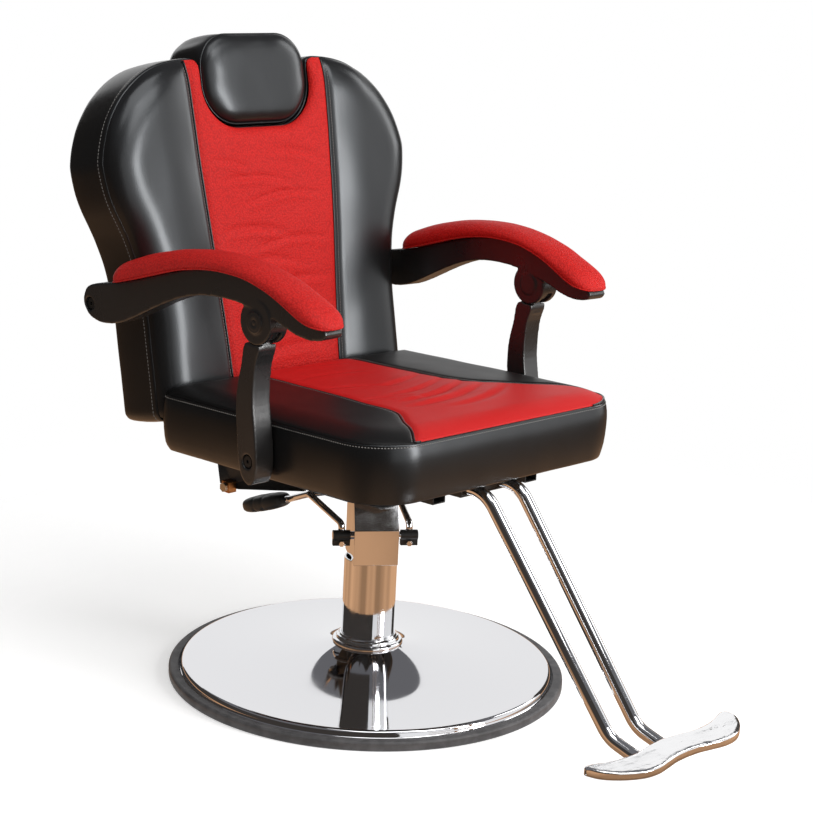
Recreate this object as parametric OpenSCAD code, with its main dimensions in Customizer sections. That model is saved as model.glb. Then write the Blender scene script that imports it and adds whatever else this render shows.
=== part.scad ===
/* [Base] */
// Diameter over the rubber edge ring
base_d = 600; // [560:5:640]
// Height of the rubber edge ring
ring_h = 14; // [12:1:20]
// Depth of the rubber edge ring, from its outside inwards
ring_w = 15; // [12:1:24]
// Width of the bevelled band inside the ring
bevel_w = 16; // [10:1:30]
// Height of the base's outer shoulder, above the bevel
shoulder_z = 22; // [19:1:26]
// Height of the base where the collar stands on it
base_top_z = 51; // [42:1:58]
// Thickness of the spun steel of the base
base_t = 3; // [2:0.5:4]
// Outer diameter of the collar round the column
collar_d = 106; // [98:1:120]
// Height of the collar
collar_h = 16; // [12:1:24]
// Diameter of the steel plate inside the base
foot_plate_d = 190; // [150:5:240]
// Thickness of the steel plate inside the base
foot_plate_t = 8; // [6:1:12]
// Height of that plate's underside above the floor
foot_plate_z = 4; // [2:1:6]

/* [Pump] */
// Angle the pump head is turned to, seen from above
pump_turn = -35; // [-60:5:0]
// Outer diameter of the chrome column
column_d = 80; // [74:1:86]
// Wall of the chrome column
column_t = 3; // [2:0.5:4]
// Height of the pump head's underside
head_z = 186; // [176:1:200]
// Height of the pump head
head_h = 103; // [98:1:110]
// Height of the upright front of the pump head, below its slope
head_front_h = 57; // [50:1:62]
// Width of the pump head
head_w = 67; // [64:1:74]
// Distance from the column's axis to the head's front face
head_front = 44; // [43:1:50]
// Distance from the column's axis to the head's back face
head_back = 40; // [36:1:46]
// Distance from the column's axis to the top edge of the sloped front
head_slope_front = 24; // [22:1:34]
// Thickness of the chrome cover on the head's front
cover_t = 1.5; // [1:0.25:2.5]
// Height of the chrome cover on the head's front
cover_h = 54; // [40:1:56]
// Outer diameter of the oil cylinder
cylinder_d = 44; // [40:1:46]
// Bore of the oil cylinder
cylinder_bore_d = 36; // [34:1:38]
// Diameter of the lifting rod
rod_d = 28; // [26:1:30]
// Distance the pump lifts the seat
lift_travel = 150; // [120:5:150]
// Length of the lifting rod above the pump head
rod_out = 34; // [30:1:38]

/* [Pump lever] */
// Diameter of the cross shaft
shaft_d = 12; // [10:1:12]
// Distance the cross shaft lies in front of the column's axis
shaft_front = 30; // [30:1:32]
// Height of the cross shaft
shaft_z = 229; // [225:1:234]
// Distance from the column's axis to each end of the cross shaft
shaft_reach = 64; // [60:1:72]
// Outer diameter of the clamps on the shaft
clamp_d = 16; // [15:0.5:19]
// Length of each clamp
clamp_w = 26; // [22:1:28]
// Diameter of the lever's rod
lever_rod_d = 10; // [8:1:12]
// Length of the pedal
pedal_len = 84; // [70:1:90]
// Width of the pedal
pedal_w = 42; // [34:1:48]
// Thickness of the pedal
pedal_t = 16; // [12:1:18]

/* [Seat] */
// Height of the seat board's underside at the column, pump down
seat_z = 357.5; // [354:0.5:370]
// Rake of the seat, front edge up
seat_rake = 2; // [0:0.5:4]
// Overall width of the seat
seat_w = 502; // [480:2:506]
// Distance from the column's axis to the seat's front edge
seat_front = 267; // [255:1:280]
// Distance from the column's axis to the seat's rear edge
seat_rear = 196; // [185:1:200]
// Radius of the seat's front corners in plan
seat_front_r = 74; // [50:1:90]
// Radius of the seat's rear corners in plan
seat_rear_r = 24; // [16:1:40]
// Width over which a cushion's face rolls down to its seam
face_roll = 48; // [36:1:60]
// Thickness of the plywood boards
board_t = 14; // [12:1:18]
// Height of the seat's edge seam above the board's underside
seat_seam_h = 84; // [76:1:92]
// Rise of the seat's crown above its edge seam
seat_crown = 13; // [6:1:18]
// How far the cushion's side swells between its seams
side_swell = 3; // [0:0.5:5]
// Distance a board stays inside the edge of its cushion
board_inset = 5; // [3:0.5:10]

/* [Seat frame] */
// Width of the square steel rails under the seat
rail_w = 25; // [20:1:26]
// Distance between the centre lines of the rails
rail_gap = 190; // [184:2:210]
// Wall of the steel rails
rail_t = 2; // [1.5:0.5:3]
// Distance from the column's axis to the front end of the rails
rail_front = 225; // [200:5:240]
// Distance from the column's axis to the rear end of the rails
rail_rear = 186; // [176:1:190]
// Thickness of the steel plates
plate_t = 5; // [4:0.5:6]
// Side of the square mounting plate
mount_side = 216; // [212:2:230]
// Outer diameter of the swivel socket
socket_d = 46; // [42:1:52]
// Diameter of the frame bolts
bolt_d = 8; // [6:1:8]

/* [Backrest] */
// Lean of the backrest from upright
back_lean = 11.27; // [8:0.01:14]
// Height of the backrest along its front
back_h = 526; // [504:2:540]
// Distance the backrest's foot stays inside the side of the seat
foot_inset = 5; // [2:0.5:10]
// How far the backrest swells out above its foot, on each side
wing_out = 52; // [40:1:58]
// Thickness of the backrest at its edge
back_t = 85; // [80:1:92]
// Rise of the backrest's crown in front of its edge seam
back_crown = 12; // [6:1:14]
// Radius of the backrest's lower corners
back_foot_r = 14; // [10:1:30]
// Half width of the notch for the headrest
notch_half = 109; // [106:1:116]
// Depth of the notch for the headrest
notch_depth = 105; // [100:1:114]
// Distance from the recline hinge to the backrest's rear face
hinge_behind = 11.7; // [11:0.1:13]
// Distance from the recline hinge up to the backrest's foot
hinge_below = 8.5; // [7:0.1:14]

/* [Hinges] */
// Distance from the column's axis back to the recline hinge
hinge_y = 298.5; // [294:0.5:304]
// Height of the recline hinge above the seat board's underside
hinge_up = 3.3; // [0:0.1:8]
// Diameter of the recline hinge pins
hinge_pin_d = 12; // [10:1:12]
// Outer radius of the hinge eyes
hinge_eye_r = 11; // [10:0.5:11.5]
// Distance from the middle of the chair to each hinge bracket's inner face
hinge_x = 147; // [140:1:150]
// Radial clearance of a turning pin
pin_clear = 0.05; // [0.02:0.01:0.1]

/* [Headrest] */
// Gap between the headrest and each side of its notch
head_gap = 4; // [2:0.5:8]
// Height of the headrest
headrest_h = 134; // [126:1:142]
// Gap between the headrest and the foot of its notch
headrest_gap = 7; // [7:0.5:10]
// Rise of the headrest's crown
headrest_crown = 16; // [10:1:20]
// Distance the headrest can be raised
headrest_travel = 90; // [60:5:90]
// Width of the headrest's steel bar
bar_w = 32; // [25:1:40]
// Thickness of the headrest's steel bar
bar_t = 6; // [5:0.5:8]

/* [Arms] */
// Gap between the side of the seat and each post
post_gap = 7.5; // [6.5:0.5:12]
// Width of the moulded arm and its post
arm_w = 33; // [30:1:34]
// Distance the post's lower pivot lies in front of the column's axis
post_y = 45.5; // [40:0.5:50]
// Height of the post's lower pivot above the seat board's underside
post_up = 33.5; // [32:0.5:38]
// Distance the hub leans forward of the post's lower pivot
hub_forward = 8.5; // [4:0.5:12]
// Height of the hub above the post's lower pivot
hub_rise = 196; // [188:1:204]
// Outer radius of the hub's cheeks
hub_r = 31; // [28:0.5:32]
// Thickness of each cheek of the hub
cheek_t = 8; // [7:0.5:9]
// Turn of each arm inwards towards its front, seen from above
arm_toe = 3.5; // [2:0.1:5]
// Height of the arm's arch above the hub
arch_h = 61.5; // [57:0.5:65]
// Height of the pad's crown above the hub
pad_top_h = 83; // [79:0.5:88]
// Width of the arm pad
pad_w = 64; // [56:1:68]
// Diameter of the arm's pivot bolts
pivot_d = 10; // [8:1:10]

/* [Footrest] */
// Diameter of the footrest's chrome tubes
tube_d = 19; // [18:1:20]
// Distance between the tubes' centre lines under the seat
tube_gap = 68; // [62:1:76]
// Distance between the tubes' centre lines at the footplate
tube_foot_gap = 59; // [54:1:68]
// Depth of the tubes below the seat board's underside
tube_drop = 13; // [12:0.5:15]
// Distance from the column's axis to where the tubes bend down
tube_bend_y = 257; // [250:1:270]
// Distance from the column's axis to the tubes' foot, before the toe
tube_foot_y = 501; // [490:1:508]
// Height of the tubes' foot
tube_foot_z = 68; // [64:1:76]
// Distance from the column's axis to the front end of the tubes
tube_toe_y = 592; // [588:1:600]
// Width of the footplate over its tips
foot_w = 304; // [290:2:340]
// Distance from the column's axis to the footplate's rear edge
foot_back_y = 563; // [550:1:575]
// Depth of the footplate between its lobes
foot_depth = 48; // [42:1:56]
// Height of the footplate's underside
foot_z = 70; // [66:1:75]
// Height of the footplate's rim
foot_rim = 11; // [10:1:15]
// Thickness of the footplate's top and of its rim
foot_wall = 4; // [3:0.5:5]

/* [Recline lock] */
// Outer diameter of the gas spring's cylinder
gas_d = 20; // [18:1:20]
// Diameter of the gas spring's rod
gas_rod_d = 8; // [7:1:10]
// Distance the gas spring lies from the middle of the chair
gas_x = 66; // [60:1:72]
// Distance from the recline hinge to the gas spring's pin
gas_arm = 53; // [51:0.5:56]
// Half of the angle that the backrest reclines through
recline_half = 20; // [15:1:20]
// Reach of the release lever's grip from the middle of the chair
release_x = 236; // [225:1:245]

/* [Hidden] */
$fn = 72;

// Overrun of every cut past the face it goes through
cut = 1;
// Gap between pieces that lie against each other
seat_gap = 0.3;
// Gap all round a wooden block in its foam pocket
pocket_gap = 0.5;
// Side of a sliding fit
slide_gap = 0.3;
// Sides of a bent tube
tube_sides = 16;
// Steps in a bend of a tube
bend_steps = 6;

// Base, from the floor up
base_r = base_d / 2;
rim_r = base_r - ring_w / 2;
shoulder_r = rim_r - bevel_w;
plate_z = ring_h / 2;
foot_plate_top = foot_plate_z + foot_plate_t;
base_bolt_circle = (foot_plate_d + column_d) / 4;
column_r = column_d / 2;
column_bore_r = column_r - column_t;
head_top_z = head_z + head_h;
cylinder_foot = foot_plate_top;
cylinder_top = head_top_z - base_t * 2;
cylinder_r = cylinder_d / 2;
bore_r = cylinder_bore_d / 2;
rod_r = rod_d / 2;
guide_h = head_h / 4;
piston_foot = cylinder_foot + foot_plate_t;
// The long piston meets the guide when the seat is fully up
piston_h = cylinder_top - guide_h - lift_travel - piston_foot - 2 * seat_gap;
rod_top_z = head_top_z + rod_out;
shaft_r = shaft_d / 2;

// Heights of the chair's frame at rest
rail_half = rail_gap / 2;
saddle_h = tube_drop * 2 - seat_gap;
hinge_z = seat_z + hinge_up;
post_z = seat_z + post_up;
hub = [-post_y - hub_forward, post_z + hub_rise];
rear_pivot = [hinge_y - hub_forward, hinge_z + hub_rise];
reach = hinge_y + post_y;
arm_half = arm_w / 2;
seat_half = seat_w / 2;
arm_x = seat_half + post_gap + arm_half;
post_len = norm([hub_forward, hub_rise]);
pivot_r = pivot_d / 2;
bolt_r = bolt_d / 2;
hinge_pin_r = hinge_pin_d / 2;
block_drop = rail_w * 3.8;

// Backrest, in its own frame: foot at zero, front seam plane at zero, depth backwards
back_foot_half = seat_half - foot_inset;
back_max_half = back_foot_half + wing_out;
back_foam_t = back_t - board_t;
back_board_half = back_foot_half - board_inset;
hinge_depth = back_t + hinge_behind;
guide_foot = back_h * 0.4;
guide_len = headrest_travel + bar_w;
headrest_foot = back_h - notch_depth + headrest_gap;
head_half = notch_half - head_gap;
head_low_r = head_half * 0.58;
head_high_r = head_half * 0.5;
notch_r = head_low_r + headrest_gap;

// Unit vector, angle between two vectors, and a vector turned square to another
function unit(v) = v / norm(v);
function angle_of(a, b) = acos(max(-1, min(1, a * b)));
function square_to(u, t) = unit(u - t * (u * t));

// Points of an arc that rounds the corner of a path
function corner_arc(a, p, b, r) =
    let (
        d = unit(p - a),
        e = unit(b - p),
        phi = angle_of(d, e),
        from = p - d * r * tan(phi / 2),
        inward = square_to(e, d)
    )
    phi < 1 ? [p] : [for (i = [0 : bend_steps])
        let (t = phi * i / bend_steps) from + d * r * sin(t) + inward * r * (1 - cos(t))];
function rounded_path(p, r) = concat(
    [p[0]],
    [for (i = [1 : len(p) - 2]) each corner_arc(p[i - 1], p[i], p[i + 1], r)],
    [p[len(p) - 1]]);
function path_dir(p, i) =
    i == 0 ? unit(p[1] - p[0])
    : i == len(p) - 1 ? unit(p[i] - p[i - 1])
    : unit(unit(p[i + 1] - p[i]) + unit(p[i] - p[i - 1]));
function path_frames(p, i, u) =
    i == len(p) ? []
    : let (t = path_dir(p, i), v = square_to(u, t))
        concat([[v, cross(t, v)]], path_frames(p, i + 1, v));
// Straight or bent round tube along a path, closed at both ends
module tube_along(p, r) {
    f = path_frames(p, 0, [1, 0.01, 0.02]);
    loft([for (i = [0 : len(p) - 1]) [for (k = [0 : tube_sides - 1])
        let (a = 360 * k / tube_sides) p[i] + r * (cos(a) * f[i][0] + sin(a) * f[i][1])]]);
}
// Skin over a row of rings with the same number of points, with a fan at each end
module loft(rings) {
    n = len(rings);
    m = len(rings[0]);
    first = [for (k = [0 : 2]) [for (q = rings[0]) q[k]] * [for (q = rings[0]) 1] / m];
    last = [for (k = [0 : 2]) [for (q = rings[n - 1]) q[k]] * [for (q = rings[n - 1]) 1] / m];
    polyhedron(
        points = concat([for (ring = rings) each ring], [first, last]),
        faces = concat(
            [for (i = [0 : n - 2]) for (k = [0 : m - 1])
                [i * m + k, (i + 1) * m + k, (i + 1) * m + (k + 1) % m]],
            [for (i = [0 : n - 2]) for (k = [0 : m - 1])
                [i * m + k, (i + 1) * m + (k + 1) % m, i * m + (k + 1) % m]],
            [for (k = [0 : m - 1]) [n * m, k, (k + 1) % m]],
            [for (k = [0 : m - 1]) [n * m + 1, (n - 1) * m + (k + 1) % m, (n - 1) * m + k]]));
}

// Round bar along X between two distances from the middle
module bar_x(x0, x1, r) {
    translate([min(x0, x1), 0, 0]) rotate([0, 90, 0]) cylinder(r = r, h = abs(x1 - x0));
}
// Hexagon head or nut, its axis along Z
module hex(across, h) {
    cylinder(d = across / cos(30), h = h, $fn = 6);
}
module mirrored_x() {
    children();
    mirror([1, 0, 0]) children();
}
// The frames that pieces are drawn in
module pump_frame() {
    rotate([0, 0, pump_turn]) children();
}
module seat_frame() {
    translate([0, 0, seat_z]) rotate([-seat_rake, 0, 0]) children();
}
module back_frame() {
    translate([0, hinge_y, hinge_z])
        rotate([-back_lean, 0, 0])
            translate([0, -hinge_depth, hinge_below])
                children();
}
// Side view outline (y, z) of the chair made into a plate at distance x
module side_plate(x, t) {
    translate([x, 0, 0]) rotate([90, 0, 90]) linear_extrude(t) children();
}

// Closed smooth curve through a ring of points
function smooth_loop(p, steps) = let (n = len(p)) [
    for (i = [0 : n - 1]) for (s = [0 : steps - 1])
        let (
            t = s / steps,
            a = p[(i + n - 1) % n],
            b = p[i],
            c = p[(i + 1) % n],
            d = p[(i + 2) % n]
        )
        0.5 * (2 * b + (c - a) * t + (2 * a - 5 * b + 4 * c - d) * t * t
            + (3 * b - a - 3 * c + d) * t * t * t)
];

// Closed cushion over columns of [x, low, knee, high], crowned over its edge seam. The rows
// of every column are spread from its low end to its knee and from there to its high end.
low_rows = [0, 0.03, 0.1, 0.22, 0.4, 0.6, 0.8, 1];
high_rows = [0.25, 0.5, 0.72, 0.87, 0.96, 1];
function column_heights(c) = concat(
    [for (r = low_rows) c[1] + (c[2] - c[1]) * r],
    [for (r = high_rows) c[2] + (c[3] - c[2]) * r]);
function side_at(cols, s) = max([for (c = cols) if (c[1] - cut <= s && s <= c[3] + cut) c[0]]);
function swell(d, w) = 1 - pow(1 - min(1, max(0, d) / w), 2);
function grid_border(n, m) = concat(
    [for (i = [0 : n - 2]) i * m],
    [for (j = [0 : m - 2]) (n - 1) * m + j],
    [for (i = [n - 1 : -1 : 1]) i * m + m - 1],
    [for (j = [m - 1 : -1 : 1]) j]);
function outward(p, k, n) =
    let (t = unit(p[(k + 1) % n] - p[(k + n - 1) % n])) [t[1], -t[0]];
module cushion(cols, seam_h, crown, edge, inner) {
    n = len(cols);
    m = len(low_rows) + len(high_rows);
    k = n * m;
    flat = [for (c = cols) for (s = column_heights(c)) [c[0], s]];
    border = grid_border(n, m);
    b = len(border);
    rim = [for (e = border) flat[e]];
    ends = [for (c = cols) for (s = column_heights(c)) min(s - c[1], c[3] - s)];
    top = [for (i = [0 : k - 1])
        let (q = flat[i], d = min(side_at(cols, q[1]) - abs(q[0]), inner(q[0], q[1])))
        [q[0], q[1], seam_h + crown * swell(d, edge) * swell(ends[i], edge)]];
    mid = [for (i = [0 : b - 1])
        let (o = outward(rim, i, b) * side_swell)
        [rim[i][0] + o[0], rim[i][1] + o[1], seam_h / 2]];
    cells = [for (i = [0 : n - 2]) for (j = [0 : m - 2]) i * m + j];
    polyhedron(
        points = concat(top, [for (q = flat) [q[0], q[1], 0]], mid),
        faces = concat(
            [for (c = cells) [c, c + 1, c + m + 1]],
            [for (c = cells) [c, c + m + 1, c + m]],
            [for (c = cells) [k + c, k + c + m + 1, k + c + 1]],
            [for (c = cells) [k + c, k + c + m, k + c + m + 1]],
            [for (i = [0 : b - 1]) [border[i], border[(i + 1) % b], 2 * k + (i + 1) % b]],
            [for (i = [0 : b - 1]) [border[i], 2 * k + (i + 1) % b, 2 * k + i]],
            [for (i = [0 : b - 1]) [2 * k + i, 2 * k + (i + 1) % b, k + border[(i + 1) % b]]],
            [for (i = [0 : b - 1]) [2 * k + i, k + border[(i + 1) % b], k + border[i]]]));
}
function no_inner(x, s) = seat_w;
// Columns mirrored from the right half, given from the middle outwards
function both_sides(half) = concat(
    [for (i = [len(half) - 1 : -1 : 0]) let (c = half[i]) [-c[0], c[1], c[2], c[3]]], half);
// How far a corner of radius r has drawn in at a distance d before its end
function corner_cut(d, r) = d >= r ? 0 : r - sqrt(max(0, r * r - (r - d) * (r - d)));
module outline(cols) {
    both = both_sides(cols);
    polygon(concat([for (c = both) [c[0], c[1]]], [for (i = [len(both) - 1 : -1 : 0])
        [both[i][0], both[i][3]]]));
}

// Seat outline
seat_shares = [0.02, 0.25, 0.45, 0.6, 0.74, 0.83, 0.89, 0.935, 0.968, 0.988, 0.998];
function seat_columns(inset) = [for (s = seat_shares)
    let (x = s * seat_half, d = seat_half - x)
    [x - s * inset,
        -seat_front + inset + corner_cut(d, seat_front_r),
        -seat_front * 0.1,
        seat_rear - inset - corner_cut(d, seat_rear_r)]];

// Backrest outline: shares of its height, and shares of its swell from foot to shoulders
back_side_shares = [[0.08, 0], [0.3, 0.01], [0.37, 0.08], [0.446, 0.2], [0.513, 0.4],
    [0.557, 0.58], [0.6, 0.77], [0.65, 0.92], [0.712, 1]];
back_top_shares = [[0.712, 1], [0.745, 0.96], [0.785, 0.84], [0.824, 0.68], [0.86, 0.46],
    [0.898, 0.16], [0.93, -0.2], [0.958, -0.6], [0.978, -1.02], [0.99, -1.45], [0.998, -2],
    [1, -2.6]];
knee_h = back_h - notch_depth * 1.15;
function swell_of(x) = (x - back_foot_half) / (back_max_half - back_foot_half);
function back_low(x) =
    x <= back_foot_half ? corner_cut(back_foot_half - x, back_foot_r)
    : back_h * lookup(swell_of(x), [for (q = back_side_shares) [q[1], q[0]]]);
function back_high(x) =
    x < notch_half ? back_h - notch_depth + corner_cut(notch_half - x, notch_r)
    : back_h * lookup(-swell_of(x), [for (q = back_top_shares) [-q[1], q[0]]]);
back_shares = [0.04, 0.25, 0.42, 0.57, 0.7, 0.81, 0.9, 0.96, 0.995];
wing_shares = [0.006, 0.15, 0.36, 0.58, 0.77, 0.9, 0.97];
swell_shares = [0.01, 0.3, 0.6, 0.82, 0.94, 0.99];
back_x = concat(
    [for (s = back_shares) s * notch_half],
    [for (s = wing_shares) notch_half + s * (back_foot_half - notch_half)],
    [for (s = swell_shares) back_foot_half + s * (back_max_half - back_foot_half)]);
function back_columns() = [for (x = back_x)
    let (low = back_low(x), high = back_high(x))
    [x, low, max(low + cut, min(knee_h, (low + high) / 2 + abs(high - low) * 0.3)), high]];
function beside_notch(x, s) =
    abs(x) > notch_half && s > back_h - notch_depth ? abs(x) - notch_half : back_max_half;
module back_outline(inset) {
    offset(delta = -inset) outline(back_columns());
}

// Headrest outline
head_shares = [0.03, 0.25, 0.42, 0.57, 0.7, 0.8, 0.88, 0.94, 0.98, 0.997];
function head_columns(inset) = [for (s = head_shares)
    let (
        half = head_half - side_swell,
        x = s * half,
        d = half - x
    )
    [x - s * inset, inset + corner_cut(d, head_low_r), headrest_h * 0.45,
        headrest_h - inset - corner_cut(d, head_high_r)]];

// Arm outlines in side view from the hub: shares of the reach and of the arch
arm_top_shares = [[1.045, -0.37], [1.03, -0.15], [0.995, -0.02], [0.933, 0.07], [0.85, 0.15],
    [0.76, 0.26], [0.688, 0.375], [0.606, 0.51], [0.505, 0.68], [0.406, 0.83], [0.288, 0.95],
    [0.192, 1], [0.097, 0.995], [0.022, 0.955], [-0.052, 0.86], [-0.126, 0.725],
    [-0.2, 0.54], [-0.265, 0.365], [-0.325, 0.24], [-0.372, 0.17]];
arm_low_shares = [[-0.38, 0.08], [-0.37, -0.02], [-0.345, -0.075], [-0.3, -0.11],
    [-0.245, -0.09], [-0.19, -0.02], [-0.1, 0.15], [0, 0.29], [0.077, 0.34], [0.143, 0.37],
    [0.22, 0.37], [0.3, 0.335], [0.376, 0.255], [0.455, 0.12], [0.55, -0.1], [0.65, -0.37],
    [0.735, -0.6], [0.82, -0.79], [0.9, -0.87], [0.965, -0.85], [1.015, -0.72],
    [1.042, -0.53]];
pad_top_shares = [[-0.384, 0.235], [-0.37, 0.31], [-0.345, 0.39], [-0.31, 0.465],
    [-0.256, 0.566], [-0.2, 0.655], [-0.14, 0.75], [-0.06, 0.845], [0.022, 0.918],
    [0.11, 0.97], [0.19, 0.993], [0.25, 0.99], [0.32, 0.976], [0.406, 0.94], [0.505, 0.869],
    [0.62, 0.752], [0.74, 0.585], [0.84, 0.42], [0.9, 0.31], [0.93, 0.25]];
pad_front = -0.386;
pad_rear = 0.855;
pad_front_steps = [0, 0.004, 0.014, 0.03, 0.052, 0.075];
pad_rear_steps = [0.06, 0.035, 0.017, 0.005, 0];
// Smooth curve through an open row of points
function smooth_open(p, steps) = concat(
    [for (i = [0 : len(p) - 2]) for (s = [0 : steps - 1])
        let (
            t = s / steps,
            a = p[max(0, i - 1)],
            b = p[i],
            c = p[i + 1],
            d = p[min(len(p) - 1, i + 2)]
        )
        0.5 * (2 * b + (c - a) * t + (2 * a - 5 * b + 4 * c - d) * t * t
            + (3 * b - a - 3 * c + d) * t * t * t)],
    [p[len(p) - 1]]);
arm_top = smooth_open(arm_top_shares, 2);
arm_low = smooth_open(arm_low_shares, 2);
arm_top_rising = [for (i = [len(arm_top) - 1 : -1 : 0]) arm_top[i]];
pad_top = smooth_open(pad_top_shares, 2);
pad_stations = concat(
    [for (d = pad_front_steps) pad_front + d],
    [for (q = arm_top_rising) if (q[0] > pad_front + 0.09 && q[0] < pad_rear - 0.075) q[0]],
    [for (d = pad_rear_steps) pad_rear - d]);
function arm_top_at(s) = arch_h * lookup(s, arm_top_rising);
function pad_top_at(s) = pad_top_h * lookup(s, pad_top);
function pad_end(s) = let (r = pad_w * 0.5)
    1 - 0.88 * (corner_cut(max(0, s - pad_front) * reach, r)
        + corner_cut(max(0, pad_rear - s) * reach, r)) / r;
// Cross section of the pad, across and up, from one lower edge over its top to the other
pad_section = [[1, 0], [1.03, 0.3], [0.97, 0.6], [0.8, 0.84], [0.45, 0.96], [0, 1],
    [-0.45, 0.96], [-0.8, 0.84], [-0.97, 0.6], [-1.03, 0.3], [-1, 0]];

// Post outline from the lower pivot, as shares of the post's length, forward negative
post_shares = [[0.059, 0.84], [0.094, 0.68], [0.13, 0.515], [0.137, 0.36], [0.122, 0.204],
    [0.105, 0.04], [0.062, -0.11], [-0.02, -0.168], [-0.08, -0.11], [-0.094, 0.04],
    [-0.066, 0.245], [-0.04, 0.4], [-0.037, 0.551], [-0.05, 0.7], [-0.085, 0.84]];

// The base
module base_edge_ring() {
    inner_r = base_r - ring_w;
    color("dimgray") rotate_extrude($fn = 128) difference() {
        polygon([
            [inner_r, 0], [base_r, 0], [base_r, ring_h - base_t], [base_r - base_t, ring_h],
            [inner_r, ring_h]
        ]);
        translate([inner_r - cut, plate_z]) square([ring_w / 2 + cut, base_t]);
    }
}
// The spun dome rises slowly from its shoulder and faster towards the collar
dome_power = 1.6;
dome_steps = 8;
dome_w = shoulder_r - collar_d / 2;
function dome_z(r) =
    shoulder_z + (base_top_z - shoulder_z) * pow((shoulder_r - r) / dome_w, dome_power);
module base_plate() {
    hole_r = column_r + seat_gap;
    dome = [for (i = [0 : dome_steps])
        let (r = shoulder_r - dome_w * i / dome_steps) [r, dome_z(r)]];
    color("gainsboro") rotate_extrude($fn = 128) polygon(concat(
        [
            [rim_r, plate_z], [rim_r, plate_z + base_t],
            [rim_r - ring_w / 2 - base_t / 2, plate_z + base_t],
            [rim_r - ring_w / 2 - base_t, ring_h]
        ],
        dome,
        [[hole_r, base_top_z], [hole_r, base_top_z - base_t]],
        [for (i = [dome_steps : -1 : 0]) [dome[i][0], dome[i][1] - base_t]],
        [[rim_r - ring_w / 2 - base_t * 2, plate_z]]));
}
module base_foot_plate() {
    color("gray") difference() {
        union() {
            translate([0, 0, foot_plate_z]) cylinder(d = foot_plate_d, h = foot_plate_t);
            translate([0, 0, foot_plate_top])
                cylinder(r = column_bore_r - seat_gap, h = foot_plate_t);
        }
        translate([0, 0, foot_plate_top]) cylinder(r = cylinder_r, h = foot_plate_t + cut);
        for (a = [45 : 90 : 315])
            rotate([0, 0, a]) translate([base_bolt_circle, 0, foot_plate_z - cut])
                cylinder(r = bolt_r, h = foot_plate_t + 2 * cut);
    }
}
// Angle bolts that hold the base to the steel plate inside it
module base_bolts() {
    under = dome_z(base_bolt_circle + bolt_r) - base_t;
    color("silver") for (a = [45 : 90 : 315])
        rotate([0, 0, a]) translate([base_bolt_circle, 0, 0]) {
            translate([0, 0, foot_plate_z]) cylinder(r = bolt_r, h = under - foot_plate_z);
            translate([0, 0, foot_plate_top]) hex(bolt_d * 1.6, bolt_r);
        }
}
module base_collar() {
    lip = collar_h / 5;
    color("silver") rotate_extrude($fn = 128) polygon([
        [column_r + seat_gap, base_top_z], [collar_d / 2, base_top_z],
        [collar_d / 2, base_top_z + collar_h * 0.45], [collar_d / 2 - lip, base_top_z + collar_h * 0.62],
        [column_r + lip, base_top_z + collar_h * 0.75], [column_r + lip, base_top_z + collar_h],
        [column_r + seat_gap, base_top_z + collar_h]
    ]);
}

// The pump
module column_tube() {
    color("silver") translate([0, 0, foot_plate_top]) difference() {
        cylinder(r = column_r, h = head_z - foot_plate_top);
        translate([0, 0, -cut]) cylinder(r = column_bore_r, h = head_z - foot_plate_top + 2 * cut);
    }
}
module oil_cylinder() {
    color("gray") difference() {
        translate([0, 0, cylinder_foot]) cylinder(r = cylinder_r, h = cylinder_top - cylinder_foot);
        translate([0, 0, piston_foot - base_t]) cylinder(r = bore_r, h = cylinder_top);
    }
}
module pump_head() {
    color("silver") pump_frame() difference() {
        rotate([90, 0, 90]) translate([0, 0, -head_w / 2]) linear_extrude(head_w) polygon([
            [-head_front, head_z], [-head_front, head_z + head_front_h],
            [-head_slope_front, head_top_z], [head_back, head_top_z], [head_back, head_z]
        ]);
        translate([0, 0, head_z - cut])
            cylinder(r = cylinder_r + pin_clear, h = cylinder_top + pin_clear - head_z + cut);
        translate([0, 0, head_z - cut]) cylinder(r = rod_r + slide_gap, h = head_h + 2 * cut);
        translate([0, -shaft_front, shaft_z]) bar_x(-head_w, head_w, shaft_r + pin_clear);
    }
}
module head_cover() {
    color("silver") pump_frame() translate([-head_w / 2, -head_front - cover_t, head_z])
        cube([head_w, cover_t, cover_h]);
}
module rod_guide() {
    color("goldenrod") translate([0, 0, cylinder_top - guide_h]) difference() {
        cylinder(r = bore_r, h = guide_h);
        translate([0, 0, -cut]) cylinder(r = rod_r + pin_clear, h = guide_h + 2 * cut);
    }
}
// The pump lever
module lever_shaft() {
    color("dimgray") pump_frame() translate([0, -shaft_front, shaft_z])
        bar_x(-shaft_reach, shaft_reach, shaft_r);
}
module lever_clamps() {
    color("#202020") pump_frame() translate([0, -shaft_front, shaft_z]) mirrored_x()
        difference() {
            union() {
                bar_x(shaft_reach - clamp_w, shaft_reach, clamp_d / 2);
                translate([shaft_reach - clamp_w, -clamp_d / 4, -clamp_d * 0.95])
                    cube([clamp_w, clamp_d / 2, clamp_d * 0.95]);
            }
            bar_x(shaft_reach - clamp_w - cut, shaft_reach + cut, shaft_r);
            translate([shaft_reach - clamp_w - cut, -cut, -clamp_d])
                cube([clamp_w + 2 * cut, 2 * cut, clamp_d * 0.95]);
            translate([shaft_reach - clamp_w / 2, -clamp_d / 2, -clamp_d * 0.72])
                rotate([-90, 0, 0]) cylinder(r = bolt_r / 2, h = clamp_d);
        }
}
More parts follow.
